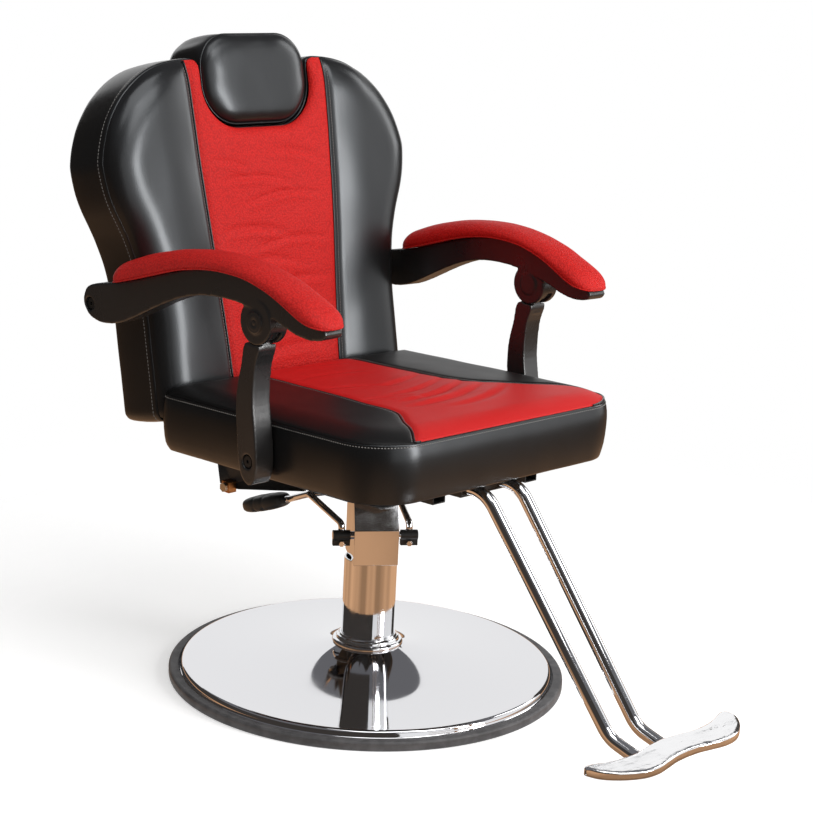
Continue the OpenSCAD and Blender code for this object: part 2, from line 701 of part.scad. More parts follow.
module clamp_bolts() {
    color("silver") pump_frame() translate([0, -shaft_front, shaft_z]) mirrored_x()
        translate([shaft_reach - clamp_w / 2, 0, -clamp_d * 0.72]) rotate([90, 0, 0]) {
            translate([0, 0, -clamp_d / 3]) cylinder(r = bolt_r / 2, h = clamp_d * 2 / 3);
            translate([0, 0, clamp_d / 4]) hex(bolt_d, bolt_r);
            translate([0, 0, -clamp_d / 4 - bolt_r]) hex(bolt_d, bolt_r);
        }
}
// Route of the lever's rods in the pump's frame, from the clamps to the pedal
clamp_mid = shaft_reach - clamp_w / 2;
lever_start = shaft_z + clamp_d / 2 + seat_gap;
lever_knee = [-head_w * 1.37, shaft_front * 1.35, shaft_z + clamp_d * 2.7];
pedal_root = [-head_w * 1.72, shaft_front * 3, shaft_z + clamp_d * 1.3];
pedal_dir = unit([-0.75, 0.85, -0.48]);
pedal_start = pedal_root + pedal_dir * lever_rod_d;
lever_main_path = [
    [-clamp_mid, -shaft_front, lever_start],
    [-clamp_mid, -shaft_front, lever_start + lever_rod_d],
    lever_knee, pedal_root, pedal_root + pedal_dir * pedal_len / 2
];
lever_back = head_back + lever_rod_d * 1.7;
lever_brace_path = [
    [clamp_mid, -shaft_front, lever_start],
    [clamp_mid, -shaft_front, lever_start + lever_rod_d],
    [clamp_mid - lever_rod_d / 2, head_back * 1.1, lever_start + clamp_d * 1.8],
    [head_w * 0.15, lever_back, lever_knee[2] - lever_rod_d / 4],
    [-head_w * 0.7, lever_back, lever_knee[2]],
    lever_knee
];
module lever_rods() {
    r = lever_rod_d / 2;
    color("silver") pump_frame() {
        tube_along(rounded_path(lever_main_path, lever_rod_d * 0.9), r);
        tube_along(rounded_path(lever_brace_path, lever_rod_d * 0.9), r);
    }
}
module lever_pedal() {
    across = unit(cross(pedal_dir, [0, 0, 1]));
    up = cross(across, pedal_dir);
    stations = [[0, 0.5], [0.04, 0.8], [0.12, 0.95], [0.3, 1], [0.5, 1.04], [0.75, 1],
        [0.9, 0.9], [0.97, 0.72], [1, 0.45]];
    section = [for (a = [15 : 30 : 345]) [cos(a), sin(a)]];
    color("#1a1a1a") pump_frame() difference() {
        loft([for (s = stations) [for (q = section)
            pedal_start + pedal_dir * (s[0] * pedal_len)
                + across * (sign(q[0]) * pow(abs(q[0]), 0.6) * s[1] * pedal_w / 2)
                + up * (sign(q[1]) * pow(abs(q[1]), 0.7) * (0.4 + 0.6 * s[1]) * pedal_t / 2)]]);
        tube_along([pedal_root, pedal_root + pedal_dir * (pedal_len / 2 + cut)],
            lever_rod_d / 2 + seat_gap);
    }
}

// The lifting rod
module lifting_rod() {
    color("silver") translate([0, 0, piston_foot + piston_h])
        cylinder(r = rod_r, h = rod_top_z - piston_foot - piston_h);
}
module lifting_piston() {
    groove_h = bore_r / 4;
    color("gray") translate([0, 0, piston_foot]) difference() {
        cylinder(r = bore_r - pin_clear, h = piston_h);
        translate([0, 0, (piston_h - groove_h) / 2]) difference() {
            cylinder(r = bore_r + cut, h = groove_h);
            translate([0, 0, -cut]) cylinder(r = bore_r - groove_h / 2, h = groove_h + 2 * cut);
        }
    }
}

// The seat's steel frame
mount_bolt_y = mount_side * 0.42;
module seat_mount() {
    socket_top = seat_z - rail_w - plate_t / 2;
    color("#303030") difference() {
        union() {
            seat_frame() translate([-mount_side / 2, -mount_side / 2, -rail_w - plate_t])
                cube([mount_side, mount_side, plate_t]);
            translate([0, 0, head_top_z + 2 * cut])
                cylinder(d = socket_d, h = socket_top - head_top_z - 2 * cut);
        }
        translate([0, 0, head_top_z - cut])
            cylinder(r = rod_r + pin_clear, h = rod_top_z - head_top_z + cut + seat_gap);
        seat_frame() for (x = [-1, 1]) for (y = [-1, 1])
            translate([x * rail_half, y * mount_bolt_y, -rail_w - plate_t - cut])
                cylinder(r = bolt_r, h = plate_t + 2 * cut);
    }
}
module seat_rails() {
    color("#262626") seat_frame() mirrored_x() difference() {
        translate([rail_half - rail_w / 2, -rail_front, -rail_w])
            cube([rail_w, rail_front + rail_rear, rail_w]);
        translate([rail_half - rail_w / 2 + rail_t, -rail_front - cut, -rail_w + rail_t])
            cube([rail_w - 2 * rail_t, rail_front + rail_rear + 2 * cut, rail_w - 2 * rail_t]);
        for (y = [-1, 1]) translate([rail_half, y * mount_bolt_y, -rail_w - cut])
            cylinder(r = bolt_r, h = rail_w + 2 * cut);
    }
}
module rail_bolts() {
    color("silver") seat_frame() mirrored_x() for (y = [-1, 1])
        translate([rail_half, y * mount_bolt_y, 0]) {
            translate([0, 0, -rail_w - plate_t])
                cylinder(r = bolt_r, h = rail_w + plate_t + board_t * 0.8);
            translate([0, 0, -rail_w - plate_t - bolt_r]) hex(bolt_d * 1.6, bolt_r);
        }
}
module seat_board() {
    color("burlywood") seat_frame() difference() {
        linear_extrude(board_t) outline(seat_columns(board_inset));
        for (x = [-1, 1]) for (y = [-1, 1])
            translate([x * rail_half, y * mount_bolt_y, -cut]) cylinder(r = bolt_r, h = board_t + cut);
        for (x = [-1, 1]) for (y = flange_bolt_y) translate([x * flange_bolt_x, y, -cut])
            cylinder(r = bolt_r, h = board_t + cut);
    }
}
// Wooden blocks inside the seat that the arms are bolted to
block_l = post_up * 1.5;
block_w = post_up * 0.9;
block_x = seat_half - block_w * 1.35;
module seat_block(gap) {
    translate([block_x - gap, -post_y - block_l / 2 - gap, board_t - gap])
        cube([block_w + 2 * gap, block_l + 2 * gap, post_up + post_up * 0.45 - board_t + 2 * gap]);
}
module at_post_pivot() {
    translate([0, -post_y, post_z]) children();
}
module at_rear_pivot() {
    translate([0, rear_pivot[0], rear_pivot[1]]) children();
}
module arm_blocks_seat() {
    color("burlywood") mirrored_x() difference() {
        seat_frame() seat_block(0);
        at_post_pivot() bar_x(block_x - cut, seat_half, pivot_r);
    }
}
spacer_r = pivot_d * 1.2;
module seat_cushion() {
    color("#b01818") difference() {
        seat_frame() cushion(both_sides(seat_columns(0)), seat_seam_h, seat_crown,
            face_roll, function (x, s) no_inner(x, s));
        seat_frame() translate([0, 0, -cut]) linear_extrude(board_t + cut + seat_gap)
            outline(seat_columns(board_inset - seat_gap));
        mirrored_x() seat_frame() seat_block(pocket_gap);
        mirrored_x() at_post_pivot()
            bar_x(block_x + block_w / 2, seat_half + side_swell + cut, spacer_r + pocket_gap);
    }
}
// Inner face of the post and outer end of the pivot bolt
post_inner_x = arm_x - arm_half;
module post_spacers() {
    color("#202020") mirrored_x() at_post_pivot() difference() {
        bar_x(block_x + block_w, post_inner_x - seat_gap, spacer_r);
        bar_x(block_x, post_inner_x, pivot_r);
    }
}
module post_bolts() {
    head_x = arm_x + arm_half * 0.6;
    color("silver") mirrored_x() at_post_pivot() difference() {
        union() {
            bar_x(block_x + block_w * 0.1, head_x + 2 * seat_gap, pivot_r);
            bar_x(head_x + seat_gap, head_x + pivot_r, pivot_r * 1.6);
        }
        translate([head_x + pivot_r * 0.4, 0, 0]) rotate([0, 90, 0]) hex(pivot_r, pivot_r);
    }
}

// The recline hinge: a bent plate on each side, its flange under the seat board
flange_w = rail_w * 1.1;
bracket_front = -plate_t * 2;
bracket_drop = block_drop - rail_w * 0.9;
flange_bolt_y = [rail_rear * 0.12, rail_rear * 0.82];
module bracket_side() {
    low = seat_z - bracket_drop;
    polygon([
        [bracket_front, seat_z - rail_w * 1.65], [rail_rear * 0.72, low],
        [rail_rear - rail_w * 0.4, low], [rail_rear, seat_z - rail_w * 1.2],
        [hinge_y + hinge_eye_r * 0.5, hinge_z - hinge_eye_r * 0.87],
        [hinge_y - hinge_eye_r * 0.5, hinge_z + hinge_eye_r * 0.87],
        [seat_rear + rail_w * 0.7, seat_z - rail_w * 0.4], [seat_rear, seat_z - rail_w * 0.4],
        [bracket_front, seat_z - plate_t / 2]
    ]);
    translate([hinge_y, hinge_z]) circle(r = hinge_eye_r);
}
module hinge_brackets() {
    color("#262626") mirrored_x() difference() {
        union() {
            side_plate(hinge_x, plate_t) bracket_side();
            seat_frame() translate([hinge_x + plate_t - flange_w, -bracket_front / 2, -plate_t])
                cube([flange_w, rail_rear + bracket_front, plate_t]);
        }
        translate([0, hinge_y, hinge_z]) bar_x(hinge_x - cut, hinge_x + plate_t + cut, hinge_pin_r);
        translate([0, block_y + block_side / 2, block_z + block_side / 2])
            bar_x(hinge_x - cut, hinge_x + plate_t + cut, bolt_r);
        for (y = flange_bolt_y) seat_frame() translate([flange_bolt_x, y, -plate_t - cut])
            cylinder(r = bolt_r, h = plate_t + 2 * cut);
        seat_frame() translate([0, -seat_front, 0]) cube([seat_w, seat_front * 2, board_t]);
    }
}
flange_bolt_x = hinge_x - flange_w * 0.35;
module bracket_bolts() {
    color("silver") seat_frame() mirrored_x() for (y = flange_bolt_y)
        translate([flange_bolt_x, y, -plate_t]) {
            cylinder(r = bolt_r, h = plate_t + board_t * 0.8);
            translate([0, 0, -bolt_r]) hex(bolt_d * 1.6, bolt_r);
        }
}
// Zinc-plated stop block low on the outside of each bracket
block_side = rail_w * 0.68;
block_y = rail_rear * 0.74;
block_z = seat_z - bracket_drop - rail_w * 0.2;
block_out = rail_w * 0.6;
module hinge_blocks() {
    color("peru") mirrored_x() difference() {
        translate([hinge_x + plate_t, block_y, block_z]) cube([block_out, block_side, block_side]);
        translate([0, block_y + block_side / 2, block_z + block_side / 2])
            bar_x(hinge_x, hinge_x + plate_t + block_out + cut, bolt_r);
    }
}
module block_bolts() {
    outer = hinge_x + plate_t + block_out;
    color("silver") mirrored_x()
        translate([0, block_y + block_side / 2, block_z + block_side / 2]) {
            bar_x(hinge_x - bolt_d, outer + seat_gap, bolt_r);
            translate([outer, 0, 0]) rotate([0, 90, 0]) hex(bolt_d * 1.6, bolt_r * 1.2);
            translate([hinge_x - bolt_d * 0.8, 0, 0]) rotate([0, 90, 0])
                hex(bolt_d * 1.6, bolt_d * 0.8);
        }
}
// Straps of the backrest turn just outside the brackets
strap_x = hinge_x + plate_t + 2 * seat_gap;
module hinge_pins() {
    inner = hinge_x - plate_t;
    color("silver") mirrored_x() translate([0, hinge_y, hinge_z]) {
        bar_x(inner, strap_x + plate_t + seat_gap, hinge_pin_r);
        bar_x(strap_x + plate_t + seat_gap, strap_x + plate_t * 1.8, hinge_pin_r * 1.45);
        bar_x(inner, hinge_x, hinge_pin_r * 1.4);
    }
}

// The footrest
saddle_len = tube_d * 1.6;
saddle_w = tube_gap + tube_d * 1.5;
saddle_y = [seat_front * 0.57, seat_front * 0.77];
module footrest_saddles() {
    color("#1c1c1c") seat_frame() for (y = saddle_y) translate([0, -y, 0]) difference() {
        translate([-saddle_w / 2, -saddle_len / 2, -saddle_h])
            cube([saddle_w, saddle_len, saddle_h]);
        for (s = [-1, 1]) translate([s * tube_gap / 2, -saddle_len, -tube_drop])
            rotate([-90, 0, 0]) cylinder(d = tube_d + seat_gap, h = saddle_len * 2);
    }
}
tube_z = seat_z - tube_drop;
function tube_world(y) = tube_z + y * sin(seat_rake);
foot_screw_y = foot_back_y + foot_depth * 0.55;
toe_gap = foot_wall * 0.8;
toe_z = foot_z - tube_d / 2 - toe_gap;
tube_path = [
    [tube_gap / 2, -seat_front * 0.5, tube_world(seat_front * 0.5)],
    [tube_gap / 2, -tube_bend_y, tube_world(tube_bend_y)],
    [tube_foot_gap / 2, -tube_foot_y, tube_foot_z],
    [tube_foot_gap / 2, -foot_back_y + tube_d, toe_z],
    [tube_foot_gap / 2, -tube_toe_y, toe_z]
];
// The tube's toe is cut on a slant from below, with a flat seat for the screw's head
toe_low = toe_z - tube_d / 2;
toe_seat_z = toe_z + tube_d / 4;
toe_slant_y = foot_screw_y - tube_d * 0.76;
module footrest_tube() {
    difference() {
        tube_along(rounded_path(tube_path, tube_d * 2.6), tube_d / 2);
        translate([tube_foot_gap / 2 - tube_d, 0, 0]) rotate([90, 0, 90]) linear_extrude(tube_d * 2)
            polygon([[-toe_slant_y, toe_low], [-toe_slant_y, toe_low - tube_d],
                [-toe_slant_y - tube_d * 2, toe_low - tube_d],
                [-toe_slant_y - tube_d * 2, toe_low + tube_d * 2]]);
        translate([tube_foot_gap / 2, -foot_screw_y, toe_z - tube_d])
            cylinder(r = bolt_r * 0.6 + seat_gap, h = tube_d * 2);
        translate([tube_foot_gap / 2, -foot_screw_y, toe_low - cut])
            cylinder(r = bolt_r * 1.4 + seat_gap, h = toe_seat_z - toe_low + cut);
    }
}
module footrest_tube_left() {
    color("silver") footrest_tube();
}
module footrest_tube_right() {
    color("silver") mirror([1, 0, 0]) footrest_tube();
}
// Footplate outline: shares of its half width and of its depth, front edge then rear edge
foot_front_shares = [[0, 0.97], [0.16, 1], [0.32, 1.1], [0.48, 1.18], [0.64, 1.12],
    [0.8, 0.88], [0.92, 0.56], [0.99, 0.24]];
foot_rear_shares = [[1, 0], [0.965, -0.14], [0.88, -0.1], [0.76, 0.04], [0.6, 0.15], [0.4, 0.17],
    [0.2, 0.07], [0, 0]];
function foot_points() = let (half = concat(foot_front_shares, foot_rear_shares)) concat(
    [for (q = half) [q[0] * foot_w / 2, -foot_back_y - q[1] * foot_depth]],
    [for (i = [len(half) - 2 : -1 : 1])
        [-half[i][0] * foot_w / 2, -foot_back_y - half[i][1] * foot_depth]]);
module footplate() {
    rim = smooth_loop(foot_points(), 4);
    color("silver") difference() {
        union() {
            difference() {
                translate([0, 0, foot_z]) linear_extrude(foot_rim) polygon(rim);
                translate([0, 0, foot_z - cut]) linear_extrude(foot_rim - foot_wall + cut)
                    offset(delta = -foot_wall) polygon(rim);
            }
            for (s = [-1, 1])
                translate([s * tube_foot_gap / 2, -foot_screw_y, foot_z - toe_gap + seat_gap])
                    cylinder(r = tube_d * 0.45, h = foot_rim - foot_wall + toe_gap);
        }
        for (s = [-1, 1]) translate([s * tube_foot_gap / 2, -foot_screw_y, foot_z - toe_gap - cut])
            cylinder(r = bolt_r * 0.6, h = toe_gap + foot_rim * 0.6 + cut);
    }
}
module footplate_screws() {
    color("silver") for (s = [-1, 1])
        translate([s * tube_foot_gap / 2, -foot_screw_y, toe_seat_z - bolt_r]) {
            cylinder(r = bolt_r * 0.6, h = bolt_r + tube_d / 4 + toe_gap + foot_rim * 0.55);
            cylinder(r = bolt_r * 1.4, h = bolt_r);
        }
}

// The gas spring that locks the backrest
gas_z = hinge_z - gas_arm * cos(recline_half);
gas_end_y = hinge_y + gas_arm * sin(recline_half);
gas_stroke = 2 * gas_arm * sin(recline_half);
gas_len = (hinge_y + seat_front) * 0.42;
gas_mouth_y = gas_end_y - gas_stroke * 2.1;
module gas_cylinder() {
    color("#151515") translate([gas_x, gas_mouth_y - gas_len, gas_z]) rotate([-90, 0, 0])
        difference() {
            cylinder(d = gas_d, h = gas_len);
            translate([0, 0, gas_len / 2]) cylinder(r = gas_rod_d / 2 + pin_clear, h = gas_len);
        }
}
hanger_y = [gas_mouth_y - gas_len * 0.9, gas_mouth_y - gas_len * 0.32];
module gas_hangers() {
    side = gas_x - gas_d * 0.7;
    color("#262626") for (y = hanger_y) difference() {
        translate([side, y - plate_t / 2, gas_z - gas_d * 0.7])
            cube([rail_half + rail_w / 2 - side, plate_t, seat_z - gas_z]);
        translate([gas_x, y - plate_t, gas_z]) rotate([-90, 0, 0])
            cylinder(d = gas_d, h = plate_t * 2);
        seat_frame()
            translate([0, -seat_front, -rail_w - (y < mount_side / 2 ? plate_t : 0)])
                cube([seat_half, seat_front * 2, rail_w * 2]);
    }
}
// The rod's eye has room for the arc that its pin swings through
gas_eye_r = bolt_r + gas_arm * (1 - cos(recline_half)) + 2 * seat_gap;
module gas_rod() {
    reach_in = gas_len * 0.45 - gas_stroke;
    color("silver") translate([gas_x, 0, gas_z]) difference() {
        union() {
            translate([0, gas_mouth_y - reach_in, 0]) rotate([-90, 0, 0])
                cylinder(d = gas_rod_d, h = gas_end_y - gas_mouth_y + reach_in - gas_eye_r);
            translate([0, gas_end_y, 0]) bar_x(-plate_t / 2, plate_t / 2, gas_eye_r + gas_rod_d / 2);
        }
        translate([0, gas_end_y, 0]) bar_x(-plate_t, plate_t, gas_eye_r);
    }
}
// Release lever for the gas spring, under the seat on the sitter's left
release_y = gas_mouth_y - gas_len - gas_d * 1.8;
release_path = [
    [gas_x - gas_d / 2, release_y, gas_z],
    [release_x - gas_d * 3, release_y, gas_z],
    [release_x - gas_d * 2.2, release_y, gas_z - gas_d * 0.4],
    [release_x, release_y, gas_z - gas_d * 0.4]
];
module release_lever() {
    color("silver") {
        translate([0, release_y, gas_z]) bar_x(gas_x - gas_d / 2, release_x - gas_d * 3, bolt_r);
        tube_along(concat([release_path[1] - [bolt_r, 0, 0]],
            rounded_path([release_path[1], release_path[2], release_path[3]], bolt_d)), bolt_r * 0.98);
    }
}
module release_grip() {
    end = release_path[3];
    color("#1a1a1a") difference() {
        loft([for (s = [0, 0.05, 0.2, 0.5, 0.8, 0.95, 1]) [for (a = [15 : 30 : 345])
            end + [(s - 0.75) * gas_d * 2.4,
                (0.6 + 0.4 * sin(180 * s)) * gas_d * 0.7 * cos(a),
                (0.6 + 0.4 * sin(180 * s)) * gas_d * 0.32 * sin(a)]]]);
        tube_along([end - [gas_d * 2, 0, 0], end + [seat_gap, 0, 0]], bolt_r + seat_gap);
    }
}
module release_bearings() {
    ear = bolt_d * 1.1;
    color("#262626") for (x = [gas_x, rail_half]) difference() {
        translate([x, release_y - ear, gas_z - ear])
            cube([plate_t, ear * 2, seat_z - release_y * sin(seat_rake) - rail_w - gas_z + ear * 2]);
        translate([0, release_y, gas_z]) bar_x(x - cut, x + plate_t + cut, bolt_r + pin_clear);
        seat_frame() translate([0, -seat_front, -rail_w - plate_t])
            cube([seat_half, seat_front * 2, rail_w * 2]);
    }
}

// The backrest
module back_board() {
    color("burlywood") back_frame() translate([0, back_t, 0]) rotate([90, 0, 0]) difference() {
        linear_extrude(board_t) back_outline(board_inset);
        for (x = [-1, 1]) for (s = strap_bolt_h) translate([x * strap_mid, s, -cut])
            cylinder(r = bolt_r, h = board_t * 0.8 + cut);
    }
}
back_block_h = post_up * 1.6;
back_block_x = back_foot_half - block_w * 1.35;
rear_rise = (hub_rise * cos(back_lean) - hub_forward * sin(back_lean)) - hinge_below;
rear_depth = hinge_depth - hub_rise * sin(back_lean) - hub_forward * cos(back_lean);
module back_block(gap) {
    depth = back_foam_t - rear_depth + block_w * 0.6;
    translate([back_block_x - gap, back_foam_t - depth - gap, rear_rise - back_block_h / 2 - gap])
        cube([block_w + 2 * gap, depth + gap, back_block_h + 2 * gap]);
}
module arm_blocks_back() {
    color("burlywood") mirrored_x() difference() {
        back_frame() back_block(0);
        at_rear_pivot() bar_x(back_block_x - cut, back_foot_half, pivot_r);
    }
}
module back_cushion() {
    color("#b01818") difference() {
        back_frame() translate([0, back_t, 0]) rotate([90, 0, 0])
            cushion(both_sides(back_columns()), back_t, back_crown, face_roll,
                function (x, s) beside_notch(x, s));
        back_frame() translate([0, back_t + cut, 0]) rotate([90, 0, 0])
            linear_extrude(board_t + cut + seat_gap) back_outline(board_inset - seat_gap);
        mirrored_x() back_frame() back_block(pocket_gap);
        mirrored_x() at_rear_pivot()
            bar_x(back_block_x + block_w / 2, back_max_half + side_swell + cut,
                spacer_r + pocket_gap);
    }
}
// Steel straps from the board down to the hinge
strap_mid = strap_x + plate_t / 2 + rail_w * 0.6;
strap_bolt_h = [back_h * 0.12, back_h * 0.34];
module back_straps() {
    color("#262626") mirrored_x() back_frame() difference() {
        union() {
            translate([strap_x, back_t, 0]) cube([rail_w * 1.5, plate_t, back_h * 0.4]);
            translate([strap_x, hinge_depth - hinge_eye_r, -hinge_below])
                cube([plate_t, hinge_eye_r * 2, hinge_below + back_h * 0.1]);
            translate([0, hinge_depth, -hinge_below]) bar_x(strap_x, strap_x + plate_t, hinge_eye_r);
        }
        translate([0, hinge_depth, -hinge_below])
            bar_x(strap_x - cut, strap_x + plate_t + cut, hinge_pin_r + pin_clear);
        for (s = strap_bolt_h) translate([strap_mid, back_t - cut, s]) rotate([-90, 0, 0])
            cylinder(r = bolt_r, h = plate_t + 2 * cut);
    }
}
module strap_bolts() {
    color("silver") mirrored_x() back_frame() for (s = strap_bolt_h)
        translate([strap_mid, back_t + plate_t, s]) rotate([90, 0, 0]) {
            cylinder(r = bolt_r, h = plate_t + board_t * 0.75);
            translate([0, 0, -bolt_r]) hex(bolt_d * 1.6, bolt_r);
        }
}
// Cross tie between the straps, with the short arm that the gas spring's rod turns
tie_h = back_h * 0.06;
module recline_yoke() {
    arm_x1 = gas_x + gas_rod_d / 2 + 2 * seat_gap;
    // Place of the rod's pin seen from the hinge, in the backrest's own frame
    swing = recline_half + back_lean;
    pin = [hinge_depth + gas_arm * sin(swing), -hinge_below - gas_arm * cos(swing)];
    color("#262626") {
        back_frame() {
            translate([-strap_x, back_t + seat_gap, tie_h])
                cube([strap_x * 2, plate_t, rail_w]);
            side_plate(arm_x1, plate_t) {
                translate(pin) circle(r = bolt_d);
                polygon([
                    [back_t + seat_gap, tie_h], pin - [bolt_d, 0], pin + [bolt_d, 0],
                    [back_t + rail_w, tie_h + rail_w], [back_t + seat_gap, tie_h + rail_w]
                ]);
            }
        }
        translate([0, gas_end_y, gas_z]) bar_x(gas_x - plate_t, arm_x1 + plate_t, bolt_r);
    }
}
module headrest_guide() {
    side = bar_w / 2 + slide_gap;
    color("#262626") back_frame() translate([0, back_t, guide_foot]) difference() {
        translate([-side - plate_t, 0, 0])
            cube([2 * (side + plate_t), bar_t + 2 * slide_gap + plate_t, guide_len]);
        translate([-side, -cut, -cut])
            cube([2 * side, bar_t + 2 * slide_gap + cut, guide_len + 2 * cut]);
    }
}
module guide_screws() {
    knob_y = bar_t + 2 * slide_gap + plate_t;
    color("#1a1a1a") back_frame() translate([0, back_t + knob_y, guide_foot + guide_len / 2])
        rotate([-90, 0, 0]) {
            cylinder(r = bolt_r, h = bolt_d);
            translate([0, 0, bolt_d]) cylinder(r = bar_w * 0.4, h = bolt_d);
        }
}
// Pivot bolts that hold the rear ends of the arms to the backrest
rear_arm_x = arm_x + reach * sin(arm_toe);
rear_inner_x = rear_arm_x - arm_half / cos(arm_toe) - arm_w * sin(arm_toe);
module arm_spacers_rear() {
    color("#202020") mirrored_x() at_rear_pivot() difference() {
        bar_x(back_block_x + block_w, rear_inner_x - seat_gap, spacer_r);
        bar_x(back_block_x, rear_inner_x, pivot_r);
    }
}
module arm_bolts_rear() {
    head_x = rear_arm_x + arm_half * 0.5;
    color("silver") mirrored_x() at_rear_pivot() difference() {
        union() {
            bar_x(back_block_x + block_w * 0.1, head_x + 2 * seat_gap, pivot_r);
            bar_x(head_x + seat_gap, head_x + pivot_r * 0.9, pivot_r * 1.6);
        }
        translate([head_x + pivot_r * 0.4, 0, 0]) rotate([0, 90, 0]) hex(pivot_r, pivot_r);
    }
}

// The headrest
headrest_board_t = board_t * 0.8;
module headrest_frame() {
    back_frame() translate([0, back_t, headrest_foot]) rotate([90, 0, 0]) children();
}
module headrest_board() {
    color("burlywood") headrest_frame() linear_extrude(headrest_board_t)
        outline(head_columns(board_inset));
}
module headrest_cushion() {
    color("#151515") difference() {
        headrest_frame() cushion(both_sides(head_columns(0)), back_t, headrest_crown,
            head_low_r, function (x, s) no_inner(x, s));
        headrest_frame() translate([0, 0, -cut])
            linear_extrude(headrest_board_t + cut + seat_gap)
                outline(head_columns(board_inset - seat_gap));
    }
}
module headrest_bar() {
    color("silver") back_frame()
        translate([-bar_w / 2, back_t + slide_gap, guide_foot + headrest_gap])
            cube([bar_w, bar_t, headrest_foot + headrest_h * 0.7 - guide_foot - headrest_gap]);
}

// The arms
function arm_outline() = [for (q = concat(arm_top, arm_low)) [q[0] * reach, q[1] * arch_h]];
tongue_r = hub_r * 0.86;
tongue_half = arm_half - cheek_t - slide_gap;
module at_hub() {
    translate([0, hub[0], hub[1]]) children();
}
module arm_shape() {
    difference() {
        union() {
            at_hub() translate([arm_x, 0, 0]) rotate([0, 0, -arm_toe]) translate([-arm_half, 0, 0])
                rotate([90, 0, 90]) linear_extrude(arm_w) polygon(arm_outline());
            at_hub() bar_x(arm_x - arm_half, arm_x + arm_half, hub_r);
            at_hub() bar_x(arm_x + arm_half, arm_x + arm_half + seat_gap * 4, hub_r * 0.5);
            at_hub() bar_x(arm_x - arm_half - seat_gap * 4, arm_x - arm_half, hub_r * 0.5);
        }
        at_hub() bar_x(arm_x - tongue_half - slide_gap, arm_x + tongue_half + slide_gap,
            tongue_r + 2 * slide_gap);
        at_hub() translate([arm_x - tongue_half - slide_gap, -tongue_r - 2 * slide_gap, -hub_r * 2])
            cube([2 * (tongue_half + slide_gap), 2 * (tongue_r + 2 * slide_gap), hub_r * 2]);
        at_rear_pivot() bar_x(rear_inner_x - arm_w, rear_arm_x + arm_w, pivot_r + pin_clear);
        at_rear_pivot() bar_x(rear_arm_x + arm_half * 0.5, rear_arm_x + arm_w, pivot_r * 2);
    }
    // Pin through the two cheeks
    at_hub()
        bar_x(arm_x - tongue_half - cheek_t / 2, arm_x + tongue_half + cheek_t / 2, pivot_r);
}
module arm_left() {
    color("#1c1c1c") arm_shape();
}
module arm_right() {
    color("#1c1c1c") mirror([1, 0, 0]) arm_shape();
}
module pad_shape() {
    at_hub() translate([arm_x, 0, 0]) rotate([0, 0, -arm_toe])
        loft([for (s = pad_stations)
            let (
                low = arm_top_at(s) + seat_gap,
                high = low + (pad_top_at(s) - low) * (0.4 + 0.6 * pad_end(s)),
                wide = pad_w / 2 * pad_end(s)
            )
            [for (q = pad_section) [q[0] * wide, s * reach, low + q[1] * (high - low)]]]);
}
module pad_left() {
    color("#b01818") pad_shape();
}
module pad_right() {
    color("#b01818") mirror([1, 0, 0]) pad_shape();
}
module post_shape() {
    // Recess for the pivot bolt's head
    recess_x = arm_x + arm_half * 0.6;
    difference() {
        union() {
            difference() {
                at_post_pivot() translate([arm_x - arm_half, 0, 0]) rotate([90, 0, 90])
                    linear_extrude(arm_w) polygon(smooth_loop(post_shares * post_len, 3));
                at_hub() bar_x(arm_x - arm_w, arm_x + arm_w, hub_r + 2 * slide_gap);
            }
            at_hub() bar_x(arm_x - tongue_half, arm_x + tongue_half, tongue_r);
            at_hub() translate([arm_x - tongue_half, -tongue_r * 0.25, -hub_r * 1.5])
                cube([2 * tongue_half, tongue_r, hub_r * 1.5]);
        }
        at_post_pivot() bar_x(arm_x - arm_w, arm_x + arm_w, pivot_r + pin_clear);
        at_post_pivot() bar_x(recess_x, recess_x + arm_w, pivot_r * 2);
        at_hub() bar_x(arm_x - arm_w, arm_x + arm_w, pivot_r + slide_gap);
    }
}
module post_left() {
    color("#1c1c1c") post_shape();
}
module post_right() {
    color("#1c1c1c") mirror([1, 0, 0]) post_shape();
}

base_edge_ring();
base_plate();
base_foot_plate();
base_bolts();
base_collar();
column_tube();
oil_cylinder();
pump_head();
head_cover();
rod_guide();
lever_shaft();
lever_clamps();
clamp_bolts();
lever_rods();
lever_pedal();
lifting_rod();
lifting_piston();
seat_mount();
seat_rails();
rail_bolts();
seat_board();
arm_blocks_seat();
seat_cushion();
hinge_brackets();
bracket_bolts();
hinge_blocks();
block_bolts();
hinge_pins();
footrest_saddles();
footrest_tube_left();
footrest_tube_right();
footplate();
footplate_screws();
post_bolts();
post_spacers();
gas_cylinder();
gas_hangers();
gas_rod();
release_lever();
release_grip();
release_bearings();
back_board();
arm_blocks_back();
back_cushion();
back_straps();
strap_bolts();
recline_yoke();
headrest_guide();
guide_screws();
arm_bolts_rear();
arm_spacers_rear();
headrest_board();
headrest_cushion();
headrest_bar();
arm_left();
arm_right();
pad_left();
pad_right();
post_left();
post_right();
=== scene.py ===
"""Hydraulic barber chair in black and red vinyl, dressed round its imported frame."""
import math

import bmesh
import bpy
from mathutils import Matrix, Vector, noise


